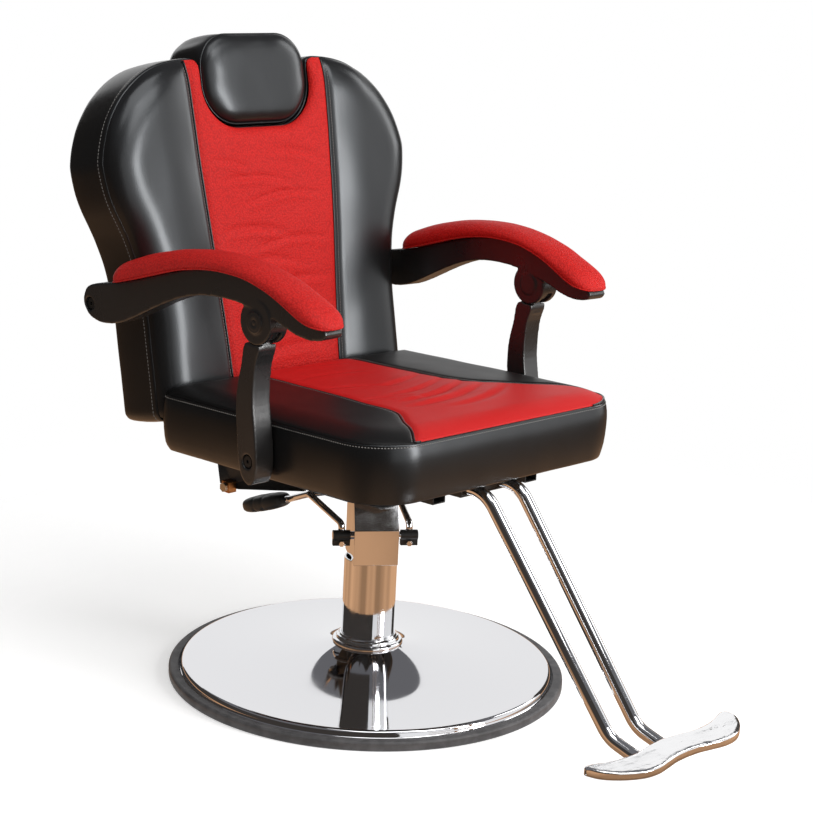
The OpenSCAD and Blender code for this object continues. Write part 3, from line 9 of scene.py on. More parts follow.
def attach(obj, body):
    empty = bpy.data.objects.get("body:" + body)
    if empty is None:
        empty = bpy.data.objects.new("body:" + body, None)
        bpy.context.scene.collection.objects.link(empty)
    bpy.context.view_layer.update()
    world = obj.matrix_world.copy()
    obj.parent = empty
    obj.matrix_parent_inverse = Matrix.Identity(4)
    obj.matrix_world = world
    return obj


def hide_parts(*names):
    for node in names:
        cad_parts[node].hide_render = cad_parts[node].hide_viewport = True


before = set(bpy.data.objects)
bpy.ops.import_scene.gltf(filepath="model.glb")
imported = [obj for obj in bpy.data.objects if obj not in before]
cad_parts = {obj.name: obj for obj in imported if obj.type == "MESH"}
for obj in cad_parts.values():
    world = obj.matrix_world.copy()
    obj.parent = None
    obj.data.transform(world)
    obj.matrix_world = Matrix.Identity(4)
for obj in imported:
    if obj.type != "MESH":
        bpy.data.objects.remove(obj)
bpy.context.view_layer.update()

scene = bpy.context.scene

# Base. A disc of polished steel, spun to a shallow dome, with a ring of grey rubber pressed round
# its edge so that it doesn't mark the floor. A turned collar hides the joint with the column, and
# a steel plate with four angle bolts clamps the disc from below.
MM = 0.001
WHOLE = Matrix.Identity(4)


def new_finish(name, colour, rough, metal=0.0, **sockets):
    """A finish whose shader has these plain values."""
    finish = bpy.data.materials.new(name)
    finish.use_nodes = True
    shader = finish.node_tree.nodes["Principled BSDF"]
    shader.inputs["Base Color"].default_value = (*colour, 1)
    shader.inputs["Roughness"].default_value = rough
    shader.inputs["Metallic"].default_value = metal
    for socket, value in sockets.items():
        shader.inputs[socket.replace("_", " ")].default_value = value
    finish.diffuse_color = (*colour, 1)
    finish["slot"] = name
    return finish


def put(finish, kind, **settings):
    """A node in the finish. A setting named after a socket fills it, any other is a property."""
    made = finish.node_tree.nodes.new("ShaderNode" + kind)
    for name in sorted(settings, key=lambda word: word[0].isupper()):
        value = settings[name]
        if not name[0].isupper():
            setattr(made, name, value)
        elif isinstance(value, bpy.types.NodeSocket):
            finish.node_tree.links.new(value, made.inputs[name.replace("_", " ")])
        else:
            made.inputs[name.replace("_", " ")].default_value = value
    return made


def feed(finish, socket, value):
    """Links a value to a socket of the finish's shader."""
    shader = finish.node_tree.nodes["Principled BSDF"]
    finish.node_tree.links.new(value, shader.inputs[socket])


def mottle(finish, scale, detail=3.0, stretch=(1, 1, 1)):
    """Soft noise, so many to the metre, stretched along an axis where a pull has drawn it out."""
    place = put(finish, "TexCoord")
    drawn = put(finish, "Mapping", Vector=place.outputs["Object"], Scale=stretch)
    return put(finish, "TexNoise", Vector=drawn.outputs["Vector"], Scale=scale,
        Detail=detail).outputs["Fac"]


def between(finish, value, low, high, start=0.35, end=0.65):
    """The value spread from low to high."""
    return put(finish, "MapRange", Value=value, From_Min=start, From_Max=end,
        To_Min=low, To_Max=high).outputs["Result"]


def two_tone(finish, value, one, other):
    """The colour of the finish, going from one to the other with the value."""
    mixed = put(finish, "Mix", data_type="RGBA")
    finish.node_tree.links.new(value, mixed.inputs[0])
    mixed.inputs[6].default_value = (*one, 1)
    mixed.inputs[7].default_value = (*other, 1)
    feed(finish, "Base Color", mixed.outputs[2])


def relief(finish, *layers):
    """Raised detail from (height, depth in metres) layers, one over the other."""
    under = None
    for height, depth in layers:
        bump = put(finish, "Bump", Height=height, Distance=depth)
        if under:
            finish.node_tree.links.new(under.outputs["Normal"], bump.inputs["Normal"])
        under = bump
    feed(finish, "Normal", under.outputs["Normal"])


def piece(name, points, faces, finish, body, place=WHOLE, slot=None):
    """A mesh drawn in millimetres in its own place, in its finish, riding on its body."""
    mesh = bpy.data.meshes.new(name)
    mesh.from_pydata([(place @ Vector(p)) * MM for p in points], [], faces)
    shape = bmesh.new()
    shape.from_mesh(mesh)
    bmesh.ops.remove_doubles(shape, verts=shape.verts, dist=0.02 * MM)
    bmesh.ops.recalc_face_normals(shape, faces=shape.faces)
    shape.to_mesh(mesh)
    shape.free()
    mesh.shade_smooth()
    mesh.materials.append(finish)
    made = bpy.data.objects.new(name, mesh)
    scene.collection.objects.link(made)
    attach(made, body)
    return made


def skin(rows, round_rows=False, round_columns=False):
    """Points and faces of a grid of rows, closed round either way if asked."""
    across = len(rows[0])
    faces = []
    for i in range(len(rows) - (0 if round_rows else 1)):
        for k in range(across - (0 if round_columns else 1)):
            here, below = i * across, (i + 1) % len(rows) * across
            beside = (k + 1) % across
            faces.append((here + k, here + beside, below + beside, below + k))
    return [p for row in rows for p in row], faces


def turned(name, profile, finish, body, steps=160):
    """A piece turned about the column from a closed profile of (radius, height)."""
    rows = [[(r * math.cos(a), r * math.sin(a), z) for r, z in profile]
            for a in (math.tau * i / steps for i in range(steps))]
    return piece(name, *skin(rows, True, True), finish, body)


def dress(finish, *names, edge=0.4):
    """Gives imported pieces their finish, with their edges broken as on a made part."""
    for name in names:
        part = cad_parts[name]
        for held in part.material_slots:
            held.material = finish
        part.data.shade_smooth()
        weld = part.modifiers.new("weld", "WELD")
        weld.merge_threshold = 0.02 * MM
        broken = part.modifiers.new("edges", "BEVEL")
        broken.width = edge * MM
        broken.segments = 2
        broken.limit_method = "ANGLE"
        broken.angle_limit = math.radians(28)
        broken.harden_normals = False
        even = part.modifiers.new("faces", "WEIGHTED_NORMAL")
        even.keep_sharp = False
        even.weight = 80


grey_rubber = new_finish("grey_rubber", (0.062, 0.06, 0.062), 0.55)
two_tone(grey_rubber, between(grey_rubber, mottle(grey_rubber, 60), 0, 1),
    (0.05, 0.048, 0.05), (0.085, 0.082, 0.084))
relief(grey_rubber, (mottle(grey_rubber, 900), 0.0001))

polished_steel = new_finish("polished_steel", (0.75, 0.75, 0.77), 0.035, 1.0)
feed(polished_steel, "Roughness",
    between(polished_steel, mottle(polished_steel, 14), 0.025, 0.06))
relief(polished_steel, (mottle(polished_steel, 5, 1), 0.0003))

chrome = new_finish("chrome", (0.82, 0.825, 0.84), 0.05, 1.0)
feed(chrome, "Roughness", between(chrome, mottle(chrome, 45), 0.03, 0.09))
relief(chrome, (mottle(chrome, 160), 0.00002))

plain_steel = new_finish("plain_steel", (0.42, 0.42, 0.43), 0.35, 1.0)
feed(plain_steel, "Roughness", between(plain_steel, mottle(plain_steel, 70), 0.28, 0.5))
relief(plain_steel, (mottle(plain_steel, 500, 4, (1, 1, 0.1)), 0.00005))

zinc_steel = new_finish("zinc_steel", (0.62, 0.6, 0.55), 0.3, 1.0)
two_tone(zinc_steel, between(zinc_steel, mottle(zinc_steel, 120), 0, 1),
    (0.62, 0.61, 0.58), (0.66, 0.58, 0.44))
feed(zinc_steel, "Roughness", between(zinc_steel, mottle(zinc_steel, 200), 0.22, 0.42))

dome_power = 1.6
shoulder_r, shoulder_z = 276.5, 22
collar_r, dome_top_z = 53, 51


def dome_z(r):
    """Height of the spun dome at a radius. It sweeps up more steeply close to the collar."""
    share = (shoulder_r - r) / (shoulder_r - collar_r)
    sweep = 6 * (1 - math.exp((collar_r - r) / 24)) * share
    return shoulder_z + (dome_top_z - shoulder_z) * share ** dome_power - sweep


plate_top = [(40.4, dome_top_z), (collar_r, dome_top_z)]
plate_top += [(r, dome_z(r)) for r in
              (collar_r + (shoulder_r - 2 - collar_r) * (i / 60) ** 1.5 for i in range(1, 61))]
plate_top += [(276.8, 21.8), (278.6, 21.1), (280, 19.9), (281, 18.2), (281.6, 16), (282, 13.9),
              (282.8, 12.7), (284.2, 12.2), (284.8, 11.4), (284.8, 10), (292.4, 10)]
plate_under = [(292.4, 7.2), (279, 7.2), (275.5, 18.4)]
plate_under += [(r, dome_z(r) - 3) for r in (260, 220, 180, 140, 100, 70, collar_r)]
plate_under += [(40.4, 48)]
base_disc = turned("base_disc", plate_top + plate_under, polished_steel, "base", 220)
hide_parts("base_plate")

collar_profile = [(40.3, 51), (53, 51), (53.6, 51.8), (53.8, 54), (53.2, 56.6), (51.6, 58),
                  (50, 58.6), (48.6, 58.4), (47.8, 59), (47.6, 61.4), (46.6, 63.2),
                  (44.8, 63.8), (43.6, 64.4), (43.2, 66.2), (42.2, 67), (40.3, 67)]
collar = turned("base_collar_rings", collar_profile, chrome, "base", 128)
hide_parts("base_collar")

dress(grey_rubber, "base_edge_ring", edge=1.2)
dress(plain_steel, "base_foot_plate", edge=0.6)
dress(zinc_steel, "base_bolts", edge=0.3)

# Pump. A chromed steel tube stands on the base and carries a square head with a sloped front,
# over which a folded cover of bright chrome is clipped. The oil cylinder, its piston and the
# bronze guide of the lifting rod are inside.
bronze = new_finish("bronze", (0.55, 0.33, 0.15), 0.35, 1.0)
feed(bronze, "Roughness", between(bronze, mottle(bronze, 150), 0.28, 0.5))
dress(chrome, "column_tube", "pump_head", "head_cover", edge=0.7)
dress(plain_steel, "oil_cylinder", "lifting_rod", "lifting_piston")
dress(bronze, "rod_guide")

# Pump lever. A chromed cross shaft through the head, a black clamp with a pinch bolt on each
# end, a bent chrome rod with its brace welded on, and a foot pedal of black rubber.
black_zinc = new_finish("black_zinc", (0.03, 0.029, 0.028), 0.38, 0.6)
feed(black_zinc, "Roughness", between(black_zinc, mottle(black_zinc, 180), 0.3, 0.5))
black_rubber = new_finish("black_rubber", (0.02, 0.019, 0.018), 0.5)
relief(black_rubber, (mottle(black_rubber, 700), 0.00012))
feed(black_rubber, "Roughness", between(black_rubber, mottle(black_rubber, 90), 0.36, 0.58))
dress(chrome, "lever_shaft", "clamp_bolts", edge=0.3)
dress(black_zinc, "lever_clamps")


def along(path, r):
    """The path with each of its corners rounded to radius r, in sixteen steps."""
    done = [Vector(path[0])]
    for a, p, b in zip(path, path[1:], path[2:]):
        a, p, b = Vector(a), Vector(p), Vector(b)
        d, e = (p - a).normalized(), (b - p).normalized()
        turn = d.angle(e)
        if turn < 0.02:
            done.append(p)
            continue
        start = p - d * r * math.tan(turn / 2)
        inward = (e - d * e.dot(d)).normalized()
        done += [start + d * r * math.sin(turn * i / 16) + inward * r * (1 - math.cos(turn * i / 16))
                 for i in range(17)]
    return done + [Vector(path[-1])]


def rod(name, path, r, finish, body, place=WHOLE, sides=28, slot=None):
    """A round bar or tube along a path, its ends closed."""
    side = Vector((1, 0.01, 0.02))
    rows = []
    for i, p in enumerate(path):
        ahead = (path[min(i + 1, len(path) - 1)] - p).normalized()
        behind = (p - path[max(i - 1, 0)]).normalized()
        way = (ahead + behind).normalized()
        side = (side - way * side.dot(way)).normalized()
        across = way.cross(side)
        rows.append([p + (side * math.cos(a) + across * math.sin(a)) * r
                     for a in (math.tau * k / sides for k in range(sides))])
    points, faces = skin(rows, round_columns=True)
    faces += [tuple(range(sides)), tuple(range(len(points) - sides, len(points)))]
    return piece(name, points, faces, finish, body, place, slot)


pump_place = Matrix.Rotation(math.radians(-35), 4, "Z")
rod_r, rod_bend_r, rod_rise = 5, 9, 10
clamp_x, shaft_y, rod_start_z = 51, -30, 237.3
knee = (-91.8, 40.5, 272.2)
pedal_root = Vector((-115.2, 90, 249.8))
pedal_way = Vector((-0.75, 0.85, -0.38)).normalized()
rod_in_pedal = 42
lever_rod = rod("lever_rod", along([
    (-clamp_x, shaft_y, rod_start_z), (-clamp_x, shaft_y, rod_start_z + rod_rise), knee,
    pedal_root, pedal_root + pedal_way * rod_in_pedal], rod_bend_r),
    rod_r, chrome, "pump_lever", pump_place)
rod("lever_brace", along([
    (clamp_x, shaft_y, rod_start_z), (clamp_x, shaft_y, rod_start_z + rod_rise),
    (46, 44, rod_start_z + 28.8), (10, 57, 269.7), (-46.9, 57, knee[2]), knee], rod_bend_r),
    rod_r, chrome, "pump_lever", pump_place)
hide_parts("lever_rods")

pedal_across = pedal_way.cross(Vector((0, 0, 1))).normalized()
pedal_up = pedal_across.cross(pedal_way)
pedal_len, pedal_half, pedal_thick = 80, 24, 12.5
pedal_start, pedal_grooves, groove_width, pedal_sides = 10, (0.36, 0.6), 2.2, 36
pedal_rows = []
for i in range(49):
    s = i / 48
    t = 0.5 - 0.5 * math.cos(math.pi * s)
    ends = (1 - abs(2 * t - 1) ** 3.2) ** 0.45
    wide = pedal_half * (0.3 + 0.7 * ends) * (1 + 0.05 * math.sin(math.pi * t))
    thick = pedal_thick * (0.35 + 0.65 * ends)
    dip = sum(math.exp(-((t - g) * pedal_len / groove_width) ** 2) for g in pedal_grooves)
    ring = []
    for k in range(pedal_sides):
        a = math.tau * k / pedal_sides
        x = math.copysign(abs(math.cos(a)) ** 0.6, math.cos(a)) * wide
        z = math.copysign(abs(math.sin(a)) ** 0.7, math.sin(a)) * thick
        x -= math.copysign(1.1 * dip * min(1, abs(x) / 15), x)
        z -= math.copysign(1.5 * dip, z) if abs(z) > 3 else 0
        ring.append(pedal_root + pedal_way * (pedal_start + t * pedal_len) + pedal_across * x
            + pedal_up * z)
    pedal_rows.append(ring)
pedal_points, pedal_faces = skin(pedal_rows, round_columns=True)
pedal_faces += [tuple(range(pedal_sides)),
                tuple(range(len(pedal_points) - pedal_sides, len(pedal_points)))]
pedal = piece("foot_pedal", pedal_points, pedal_faces, black_rubber, "pump_lever", pump_place)
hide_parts("lever_pedal")

# Seat frame. A steel mounting plate with the swivel socket, two square rails, the bent side
# brackets of the recline hinge and the saddles of the footrest, all painted black and bolted
# up into the seat board. A black unwoven cloth is stapled over the underside of the seat.
black_steel = new_finish("black_steel", (0.018, 0.017, 0.017), 0.4, 0.0, Specular_IOR_Level=0.5)
relief(black_steel, (mottle(black_steel, 450), 0.00008))
feed(black_steel, "Roughness", between(black_steel, mottle(black_steel, 60), 0.32, 0.5))
plywood = new_finish("plywood", (0.56, 0.4, 0.24), 0.6)
two_tone(plywood, between(plywood, mottle(plywood, 30, 4, (1, 0.1, 6)), 0, 1),
    (0.6, 0.44, 0.27), (0.42, 0.28, 0.15))
dress(black_steel, "seat_mount", "seat_rails", "footrest_saddles", "hinge_brackets", edge=0.8)
dress(zinc_steel, "rail_bolts", "bracket_bolts", edge=0.3)
dress(plywood, "seat_board", "arm_blocks_seat", "arm_blocks_back")

# Seat cushion. Moulded foam on a plywood board, with a cover of coated cloth: a red centre
# that widens to the front corners, a black panel on each side, and a black boxing all round,
# sewn with a cord in the seams and pulled under the board.
seat_under_z, seat_rake = 357.5, math.radians(-2)
seat_place = Matrix.Translation((0, 0, seat_under_z)) @ Matrix.Rotation(seat_rake, 4, "X")
seat_half, seat_front, seat_rear = 251, 267, 196
front_corner, rear_corner = 74, 24
corner_x, corner_y = seat_half - front_corner, front_corner - seat_front
rear_x, rear_y = seat_half - rear_corner, seat_rear - rear_corner
seat_seam_h, seat_crown, seat_roll = 84, 13, 44
seat_seams = {
    1: [(-267, 240), (-240, 240), (-215, 236), (-203, 228), (-169, 203), (-132, 166), (-100, 138),
        (-75, 118), (-40, 106), (0, 102), (90, 99), (196, 99)],
    -1: [(-267, 188), (-242, 168), (-206, 147), (-180, 128), (-165, 119), (-137, 113), (-85, 111),
         (-30, 107), (30, 105), (90, 101), (196, 99)]}


def leather(name, colour, valley_shade, rough, pebble, depth, wave, **sockets):
    """Coated cloth: pebbles with painted shade darkening the valleys between them, and a soft change
    of gloss.
    """
    finish = new_finish(name, colour, rough, **sockets)
    place = put(finish, "TexCoord")
    cells = put(finish, "TexVoronoi", feature="SMOOTH_F1", Vector=place.outputs["Object"],
        Scale=1 / (pebble * MM), Smoothness=0.35)
    grain = between(finish, cells.outputs["Distance"], 1, 0, 0.05, 0.75)
    # Painted shade: the valleys between the pebbles are coloured darker than their tops.
    two_tone(finish, grain, valley_shade, colour)
    feed(finish, "Roughness", between(finish, mottle(finish, 12, 3), rough - 0.015, rough + 0.02))
    relief(finish, (mottle(finish, 9, 1), wave * MM), (grain, depth * MM))
    return finish


black_vinyl = leather("black_vinyl", (0.0075, 0.0073, 0.0076), (0.006, 0.0059, 0.006),
    0.3, 1.3, 0.03, 0.5, Specular_IOR_Level=0.46, Coat_Weight=0.22, Coat_Roughness=0.2,
    Specular_Tint=(0.9, 0.95, 1, 1))
seat_vinyl = leather("black_vinyl_seat", (0.008, 0.0078, 0.0078), (0.006, 0.0059, 0.0059),
    0.4, 1.3, 0.03, 0.5, IOR=1.26)
red_pebbled = leather("red_vinyl_pebbled", (0.55, 0.013, 0.010), (0.36, 0.007, 0.006),
    0.55, 2.7, 0.5, 0.5, Specular_IOR_Level=0.15)
red_smooth = leather("red_vinyl_smooth", (0.50, 0.008, 0.0075), (0.41, 0.006, 0.006),
    0.5, 1.7, 0.16, 0.6, IOR=1.3)
thread = new_finish("sewing_thread", (0.22, 0.21, 0.2), 0.6)
relief(thread, (mottle(thread, 2500), 0.0001))


def follow(table, s):
    """Value at s on a smooth line through a table of (s, value), rising in s."""
    s = max(table[0][0], min(table[-1][0], s))
    i = max(k for k in range(len(table) - 1) if table[k][0] <= s)
    (s0, a), (s1, b) = table[i], table[i + 1]
    before, after = table[max(i - 1, 0)], table[min(i + 2, len(table) - 1)]
    step = s1 - s0
    rise_a = (b - before[1]) / (s1 - before[0]) * step
    rise_b = (after[1] - a) / (after[0] - s0) * step
    t = (s - s0) / step
    return ((2 * t ** 3 - 3 * t * t + 1) * a + (t ** 3 - 2 * t * t + t) * rise_a
        + (3 * t * t - 2 * t ** 3) * b + (t ** 3 - t * t) * rise_b)


def roll(t):
    """Quarter round: 0 at the seam, 1 where the roll has flattened out."""
    return math.sqrt(max(0, 1 - (1 - max(0, min(1, t))) ** 2))


def dent(distance, width):
    """Soft valley, 1 at its middle."""
    return math.exp(-(distance / width) ** 2)


def creases(x, y, lines):
    """Depth of the folds at a point, from lines of (x0, y0, x1, y1, width, depth)."""
    total = 0
    for x0, y0, x1, y1, width, depth in lines:
        dx, dy = x1 - x0, y1 - y0
        t = ((x - x0) * dx + (y - y0) * dy) / (dx * dx + dy * dy)
        off = ((x - x0) * dy - (y - y0) * dx) / math.hypot(dx, dy)
        bow = off + 0.08 * math.hypot(dx, dy) * (4 * t * (1 - t))
        fade = max(0, 1 - (2 * t - 1) ** 2)
        total += depth * fade * (dent(bow, width) - 0.6 * dent(bow - width * 1.6, width))
    return total


def seat_outline_half(y):
    """Half width of the seat at y, corners rounded."""
    if y < corner_y:
        return corner_x + math.sqrt(max(0, front_corner ** 2 - (corner_y - y) ** 2))
    if y > rear_y:
        return rear_x + math.sqrt(max(0, rear_corner ** 2 - (y - rear_y) ** 2))
    return seat_half


def seat_inside(x, y):
    """Distance from the seat's edge, inwards."""
    reach, r = (seat_front, front_corner) if y < 0 else (seat_rear, rear_corner)
    qx, qy = abs(x) - seat_half + r, abs(y) - reach + r
    return r - math.hypot(max(qx, 0), max(qy, 0)) - min(max(qx, qy), 0)


seat_creases = [(122, -62, -78, -122, 6, 3.0), (134, -92, -92, -152, 7, 3.2),
                (150, -124, -40, -186, 7, 2.6), (112, -28, -60, -84, 6, 2.4),
                (106, 14, -40, -30, 7, 2.0), (-108, 10, 10, -42, 7, 1.8),
                (-112, -78, -10, -118, 6, 1.8), (-70, 150, 80, 128, 9, 1.6),
                (-100, 80, 60, 62, 8, 1.6)]


def seat_top(x, y):
    """Height of the seat's cover."""
    edge = seat_inside(x, y)
    seam_table = seat_seams[1 if x > 0 else -1]
    seam = follow(seam_table, y)
    slope = (follow(seam_table, y + 4) - follow(seam_table, y - 4)) / 8
    from_seam = abs(abs(x) - seam) / math.sqrt(1 + slope * slope)
    risen = max(0, min(1, edge / seat_roll))
    h = seat_seam_h - 1 + seat_crown * (0.35 * roll(risen) + 0.65 * math.sin(math.pi * risen / 2))
    h += 3.5 * max(0, 1 - (x / seat_half) ** 2) * max(0, 1 - (y / seat_front) ** 2)
    h -= 3.2 * dent(from_seam, 5.5) * min(1, edge / 12)
    h += 0.8 * noise.noise(Vector((x, y, 5)) / 60) * min(1, edge / 20)
    if abs(x) < seam:
        h -= creases(x, y, seat_creases) * min(1, from_seam / 10) * min(1, edge / 14)
    return h


def spaced(n, ends=0.6):
    """Steps from 0 to 1, closer together at both ends."""
    return [(1 - ends) * i / n + ends * (0.5 - 0.5 * math.cos(math.pi * i / n))
            for i in range(n + 1)]


seat_rows = [rear_y + rear_corner * math.sin(math.radians(a)) for a in (90, 78, 66, 52, 38, 24, 12)]
seat_rows += [rear_y + (corner_y - rear_y) * i / 110 for i in range(111)]
seat_rows += [corner_y - front_corner * math.sin(math.radians(a)) for a in range(4, 91, 4)]


def seat_panel(name, low, high, count, finish, slot):
    """A panel of the seat's top between two lines that run from the rear to the front."""
    rows = []
    for y in seat_rows:
        x0, x1 = low(y), high(y)
        rows.append([(x0 + (x1 - x0) * t, y, seat_top(x0 + (x1 - x0) * t, y))
                     for t in spaced(count)])
    piece(name, *skin(rows), finish, "seat", seat_place, slot)


def seam_x(y, side):
    """Where the red centre ends, on the left (1) or the right (-1)."""
    return side * min(follow(seat_seams[side], y), seat_outline_half(y) - 2.5)


seat_panel("seat_centre", lambda y: seam_x(y, -1), lambda y: seam_x(y, 1), 60,
    red_smooth, "red_vinyl")
seat_panel("seat_side_left", lambda y: seam_x(y, 1), seat_outline_half, 30,
    seat_vinyl, "black_vinyl")
seat_panel("seat_side_right", lambda y: -seat_outline_half(y),
    lambda y: seam_x(y, -1), 30, seat_vinyl, "black_vinyl")


def loop_normals(loop):
    """Outward direction at each point of a loop that runs counter-clockwise."""
    found = []
    for i, (x, y) in enumerate(loop):
        ax, ay = loop[i - 1]
        bx, by = loop[(i + 1) % len(loop)]
        length = math.hypot(bx - ax, by - ay)
        found.append(((by - ay) / length, -(bx - ax) / length))
    return found


def arc(cx, cy, r, start, end, n):
    """Points on an arc, angles in degrees."""
    return [(cx + r * math.cos(math.radians(start + (end - start) * i / n)),
             cy + r * math.sin(math.radians(start + (end - start) * i / n))) for i in range(n + 1)]


def stretch(a, b, n):
    """Points between two places, their ends left out."""
    return [(a[0] + (b[0] - a[0]) * i / n, a[1] + (b[1] - a[1]) * i / n) for i in range(1, n)]


seat_loop = arc(corner_x, corner_y, front_corner, -90, 0, 20)
seat_loop += stretch((seat_half, corner_y), (seat_half, rear_y), 42)
seat_loop += arc(rear_x, rear_y, rear_corner, 0, 90, 8)
seat_loop += stretch((rear_x, seat_rear), (-rear_x, seat_rear), 44)
seat_loop += arc(-rear_x, rear_y, rear_corner, 90, 180, 8)
seat_loop += stretch((-seat_half, rear_y), (-seat_half, corner_y), 42)
seat_loop += arc(-corner_x, corner_y, front_corner, 180, 270, 20)
seat_loop += stretch((-corner_x, -seat_front), (corner_x, -seat_front), 40)
seat_out = loop_normals(seat_loop)
boxing_profile = [(-1.2, 82.2), (-0.4, 82.7), (0.5, 82.2), (1.3, 81), (1.7, 79.6), (1.5, 78.6),
                  (2.1, 77.4), (3, 74), (4.3, 66), (5, 56), (5.2, 44), (4.8, 32), (3.8, 20),
                  (2.2, 11), (0, 5.5), (-2.5, 1.6), (-4.3, -0.8), (-8, -1.5), (-20, -1.6)]


def tuck(y, h):
    """Pull of the cover towards the board, stronger at the front."""
    front = max(0, min(1, (-150 - y) / 100))
    return 3.2 * front * max(0, 1 - h / 60) * max(0, min(1, h / 8))


seat_boxing = piece("seat_boxing", *skin([[
    (x + nx * (out - tuck(y, h) + 0.5 * noise.noise(Vector((x, y, h * 0.6)) / 38)),
     y + ny * (out - tuck(y, h) + 0.5 * noise.noise(Vector((x, y, h * 0.6)) / 38)), h)
    for out, h in boxing_profile] for (x, y), (nx, ny) in zip(seat_loop, seat_out)], True),
    black_vinyl, "seat", seat_place)
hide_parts("seat_cushion")


def stitches(name, path, outs, body, place=WHOLE, length=3.8, pitch=5.4, r=0.55):
    """A row of thread along a path, each stitch a short bead lying just proud of the cover."""
    points, faces = [], []
    run = 0.0
    for p, q, out in zip(path, path[1:], outs):
        p, q, out = Vector(p), Vector(q), Vector(out)
        gap = (q - p).length
        if gap < 1e-6:
            continue
        way = (q - p) / gap
        while run < gap:
            middle = p + way * run + out * 0.15
            across = way.cross(out).normalized()
            start = len(points)
            for s, wide in ((-0.5, 0.35), (-0.3, 1), (0.3, 1), (0.5, 0.35)):
                for a in range(6):
                    turn = math.tau * a / 6
                    points.append(middle + way * (s * length) + (across * math.cos(turn)
                        + out * math.sin(turn)) * r * wide)
            for ring in range(3):
                for a in range(6):
                    b = (a + 1) % 6
                    k = start + ring * 6
                    faces.append((k + a, k + b, k + 6 + b, k + 6 + a))
            faces.append(tuple(range(start, start + 6)))
            faces.append(tuple(range(start + 18, start + 24)))
            run += pitch
        run -= gap
    return piece(name, points, faces, thread, body, place, "black_vinyl")


row_out, row_h, cord_r, row_off = 1.55, 78.7, 1.5, 5
seat_row = [(x + nx * row_out, y + ny * row_out, row_h)
            for (x, y), (nx, ny) in zip(seat_loop, seat_out)]
stitches("seat_boxing_stitches", seat_row + seat_row[:1],
    [(nx, ny, 0) for nx, ny in seat_out], "seat", seat_place, 2.6, 4.4, 0.7)
for side in (-1, 1):
    seam_line = [(seam_x(y, side), y, seat_top(seam_x(y, side), y) + 0.5) for y in seat_rows]
    rod("seat_seam_cord_" + ("left" if side > 0 else "right"), [Vector(p) for p in seam_line],
        cord_r, black_vinyl, "seat", seat_place, 10)
    beside = [(seam_x(y, side) + side * row_off, y, seat_top(seam_x(y, side) + side * row_off, y))
              for y in seat_rows if abs(seam_x(y, side)) < seat_outline_half(y) - 9]
    stitches("seat_seam_stitches_" + ("left" if side > 0 else "right"), beside,
        [(0, 0, 1)] * len(beside), "seat", seat_place, 2.9, 4.4, 0.45)

dust_cloth = new_finish("dust_cloth", (0.02, 0.02, 0.02), 0.9)
relief(dust_cloth, (mottle(dust_cloth, 1800), 0.0002))
cloth_inset, cloth_h = 17, -1.65
cloth_loop = [(x - nx * cloth_inset, y - ny * cloth_inset)
              for (x, y), (nx, ny) in zip(seat_loop, seat_out)]
piece("seat_under_cloth", [(x, y, cloth_h) for x, y in cloth_loop],
    [tuple(range(len(cloth_loop)))], dust_cloth, "seat", seat_place, "black_vinyl")

# Recline hinge and lock. Zinc stop blocks with a hexagon bolt on the brackets, turned pins that
# the backrest swings on, and a gas spring with its release lever under the seat.
stop_zinc = new_finish("stop_block_zinc", (0.6, 0.3, 0.12), 0.32, 1.0)
two_tone(stop_zinc, between(stop_zinc, mottle(stop_zinc, 90), 0, 1), (0.66, 0.36, 0.16),
    (0.5, 0.22, 0.08))
black_plastic = new_finish("black_plastic", (0.016, 0.016, 0.016), 0.42)
relief(black_plastic, (mottle(black_plastic, 900), 0.0001))
dress(stop_zinc, "hinge_blocks", edge=0.8)
dress(zinc_steel, "block_bolts", "hinge_pins", edge=0.3)
dress(black_steel, "gas_cylinder", "gas_hangers", "release_bearings")
dress(chrome, "gas_rod", "release_lever", edge=0.3)
dress(black_plastic, "release_grip", edge=1.0)

# Backrest. Foam on a plywood board, cut to a heart shape with a notch for the headrest. The
# cover has two black wings, a red pebbled centre that runs up beside the notch, and a black
# boxing; a flat black panel closes the rear.
back_place = (Matrix.Translation((0, 298.5, 360.8)) @ Matrix.Rotation(math.radians(-11.27), 4, "X")
    @ Matrix.Translation((0, -96.7, 8.5)))
back_crown, back_roll, wing_bulge = 15, 48, 11
back_edge = [(232, 0), (238.9, 1.8), (243.8, 6.4), (246, 14), (246, 42), (246.1, 100),
             (246.5, 157.8), (250.2, 194.6), (256.4, 234.6), (266.8, 269.8), (276.2, 293),
             (286, 315.6), (293.8, 341.9), (298, 374.5), (295.9, 391.9), (289.7, 412.9),
             (281.4, 433.4), (269.9, 452.4), (254.3, 472.3), (235.6, 489.2), (214.8, 503.9),
             (193, 514.4), (170.6, 520.7), (150, 524)]
shoulder_at = back_edge.index((269.9, 452.4))
horn_top = [(150, 524), (137, 525), (126, 525.4), (118, 524.4), (112.5, 521.2), (109.6, 516),
            (109, 508)]
back_seam = [(0, 108), (90, 112), (180, 118), (270, 125), (360, 131), (450, 135), (524.5, 137)]
notch_floor, notch_corner, notch_flat = 421, 67.9, 41.1


def eased(points, steps):
    """Smooth row through points."""
    done = []
    for i in range(len(points) - 1):
        a, b, c, d = (Vector(points[max(0, min(len(points) - 1, k))]) for k in
                      (i - 1, i, i + 1, i + 2))
        for s in range(steps):
            t = s / steps
            done.append(0.5 * (2 * b + (c - a) * t + (2 * a - 5 * b + 4 * c - d) * t * t
                + (3 * b - a - 3 * c + d) * t ** 3))
    return done + [Vector(points[-1])]


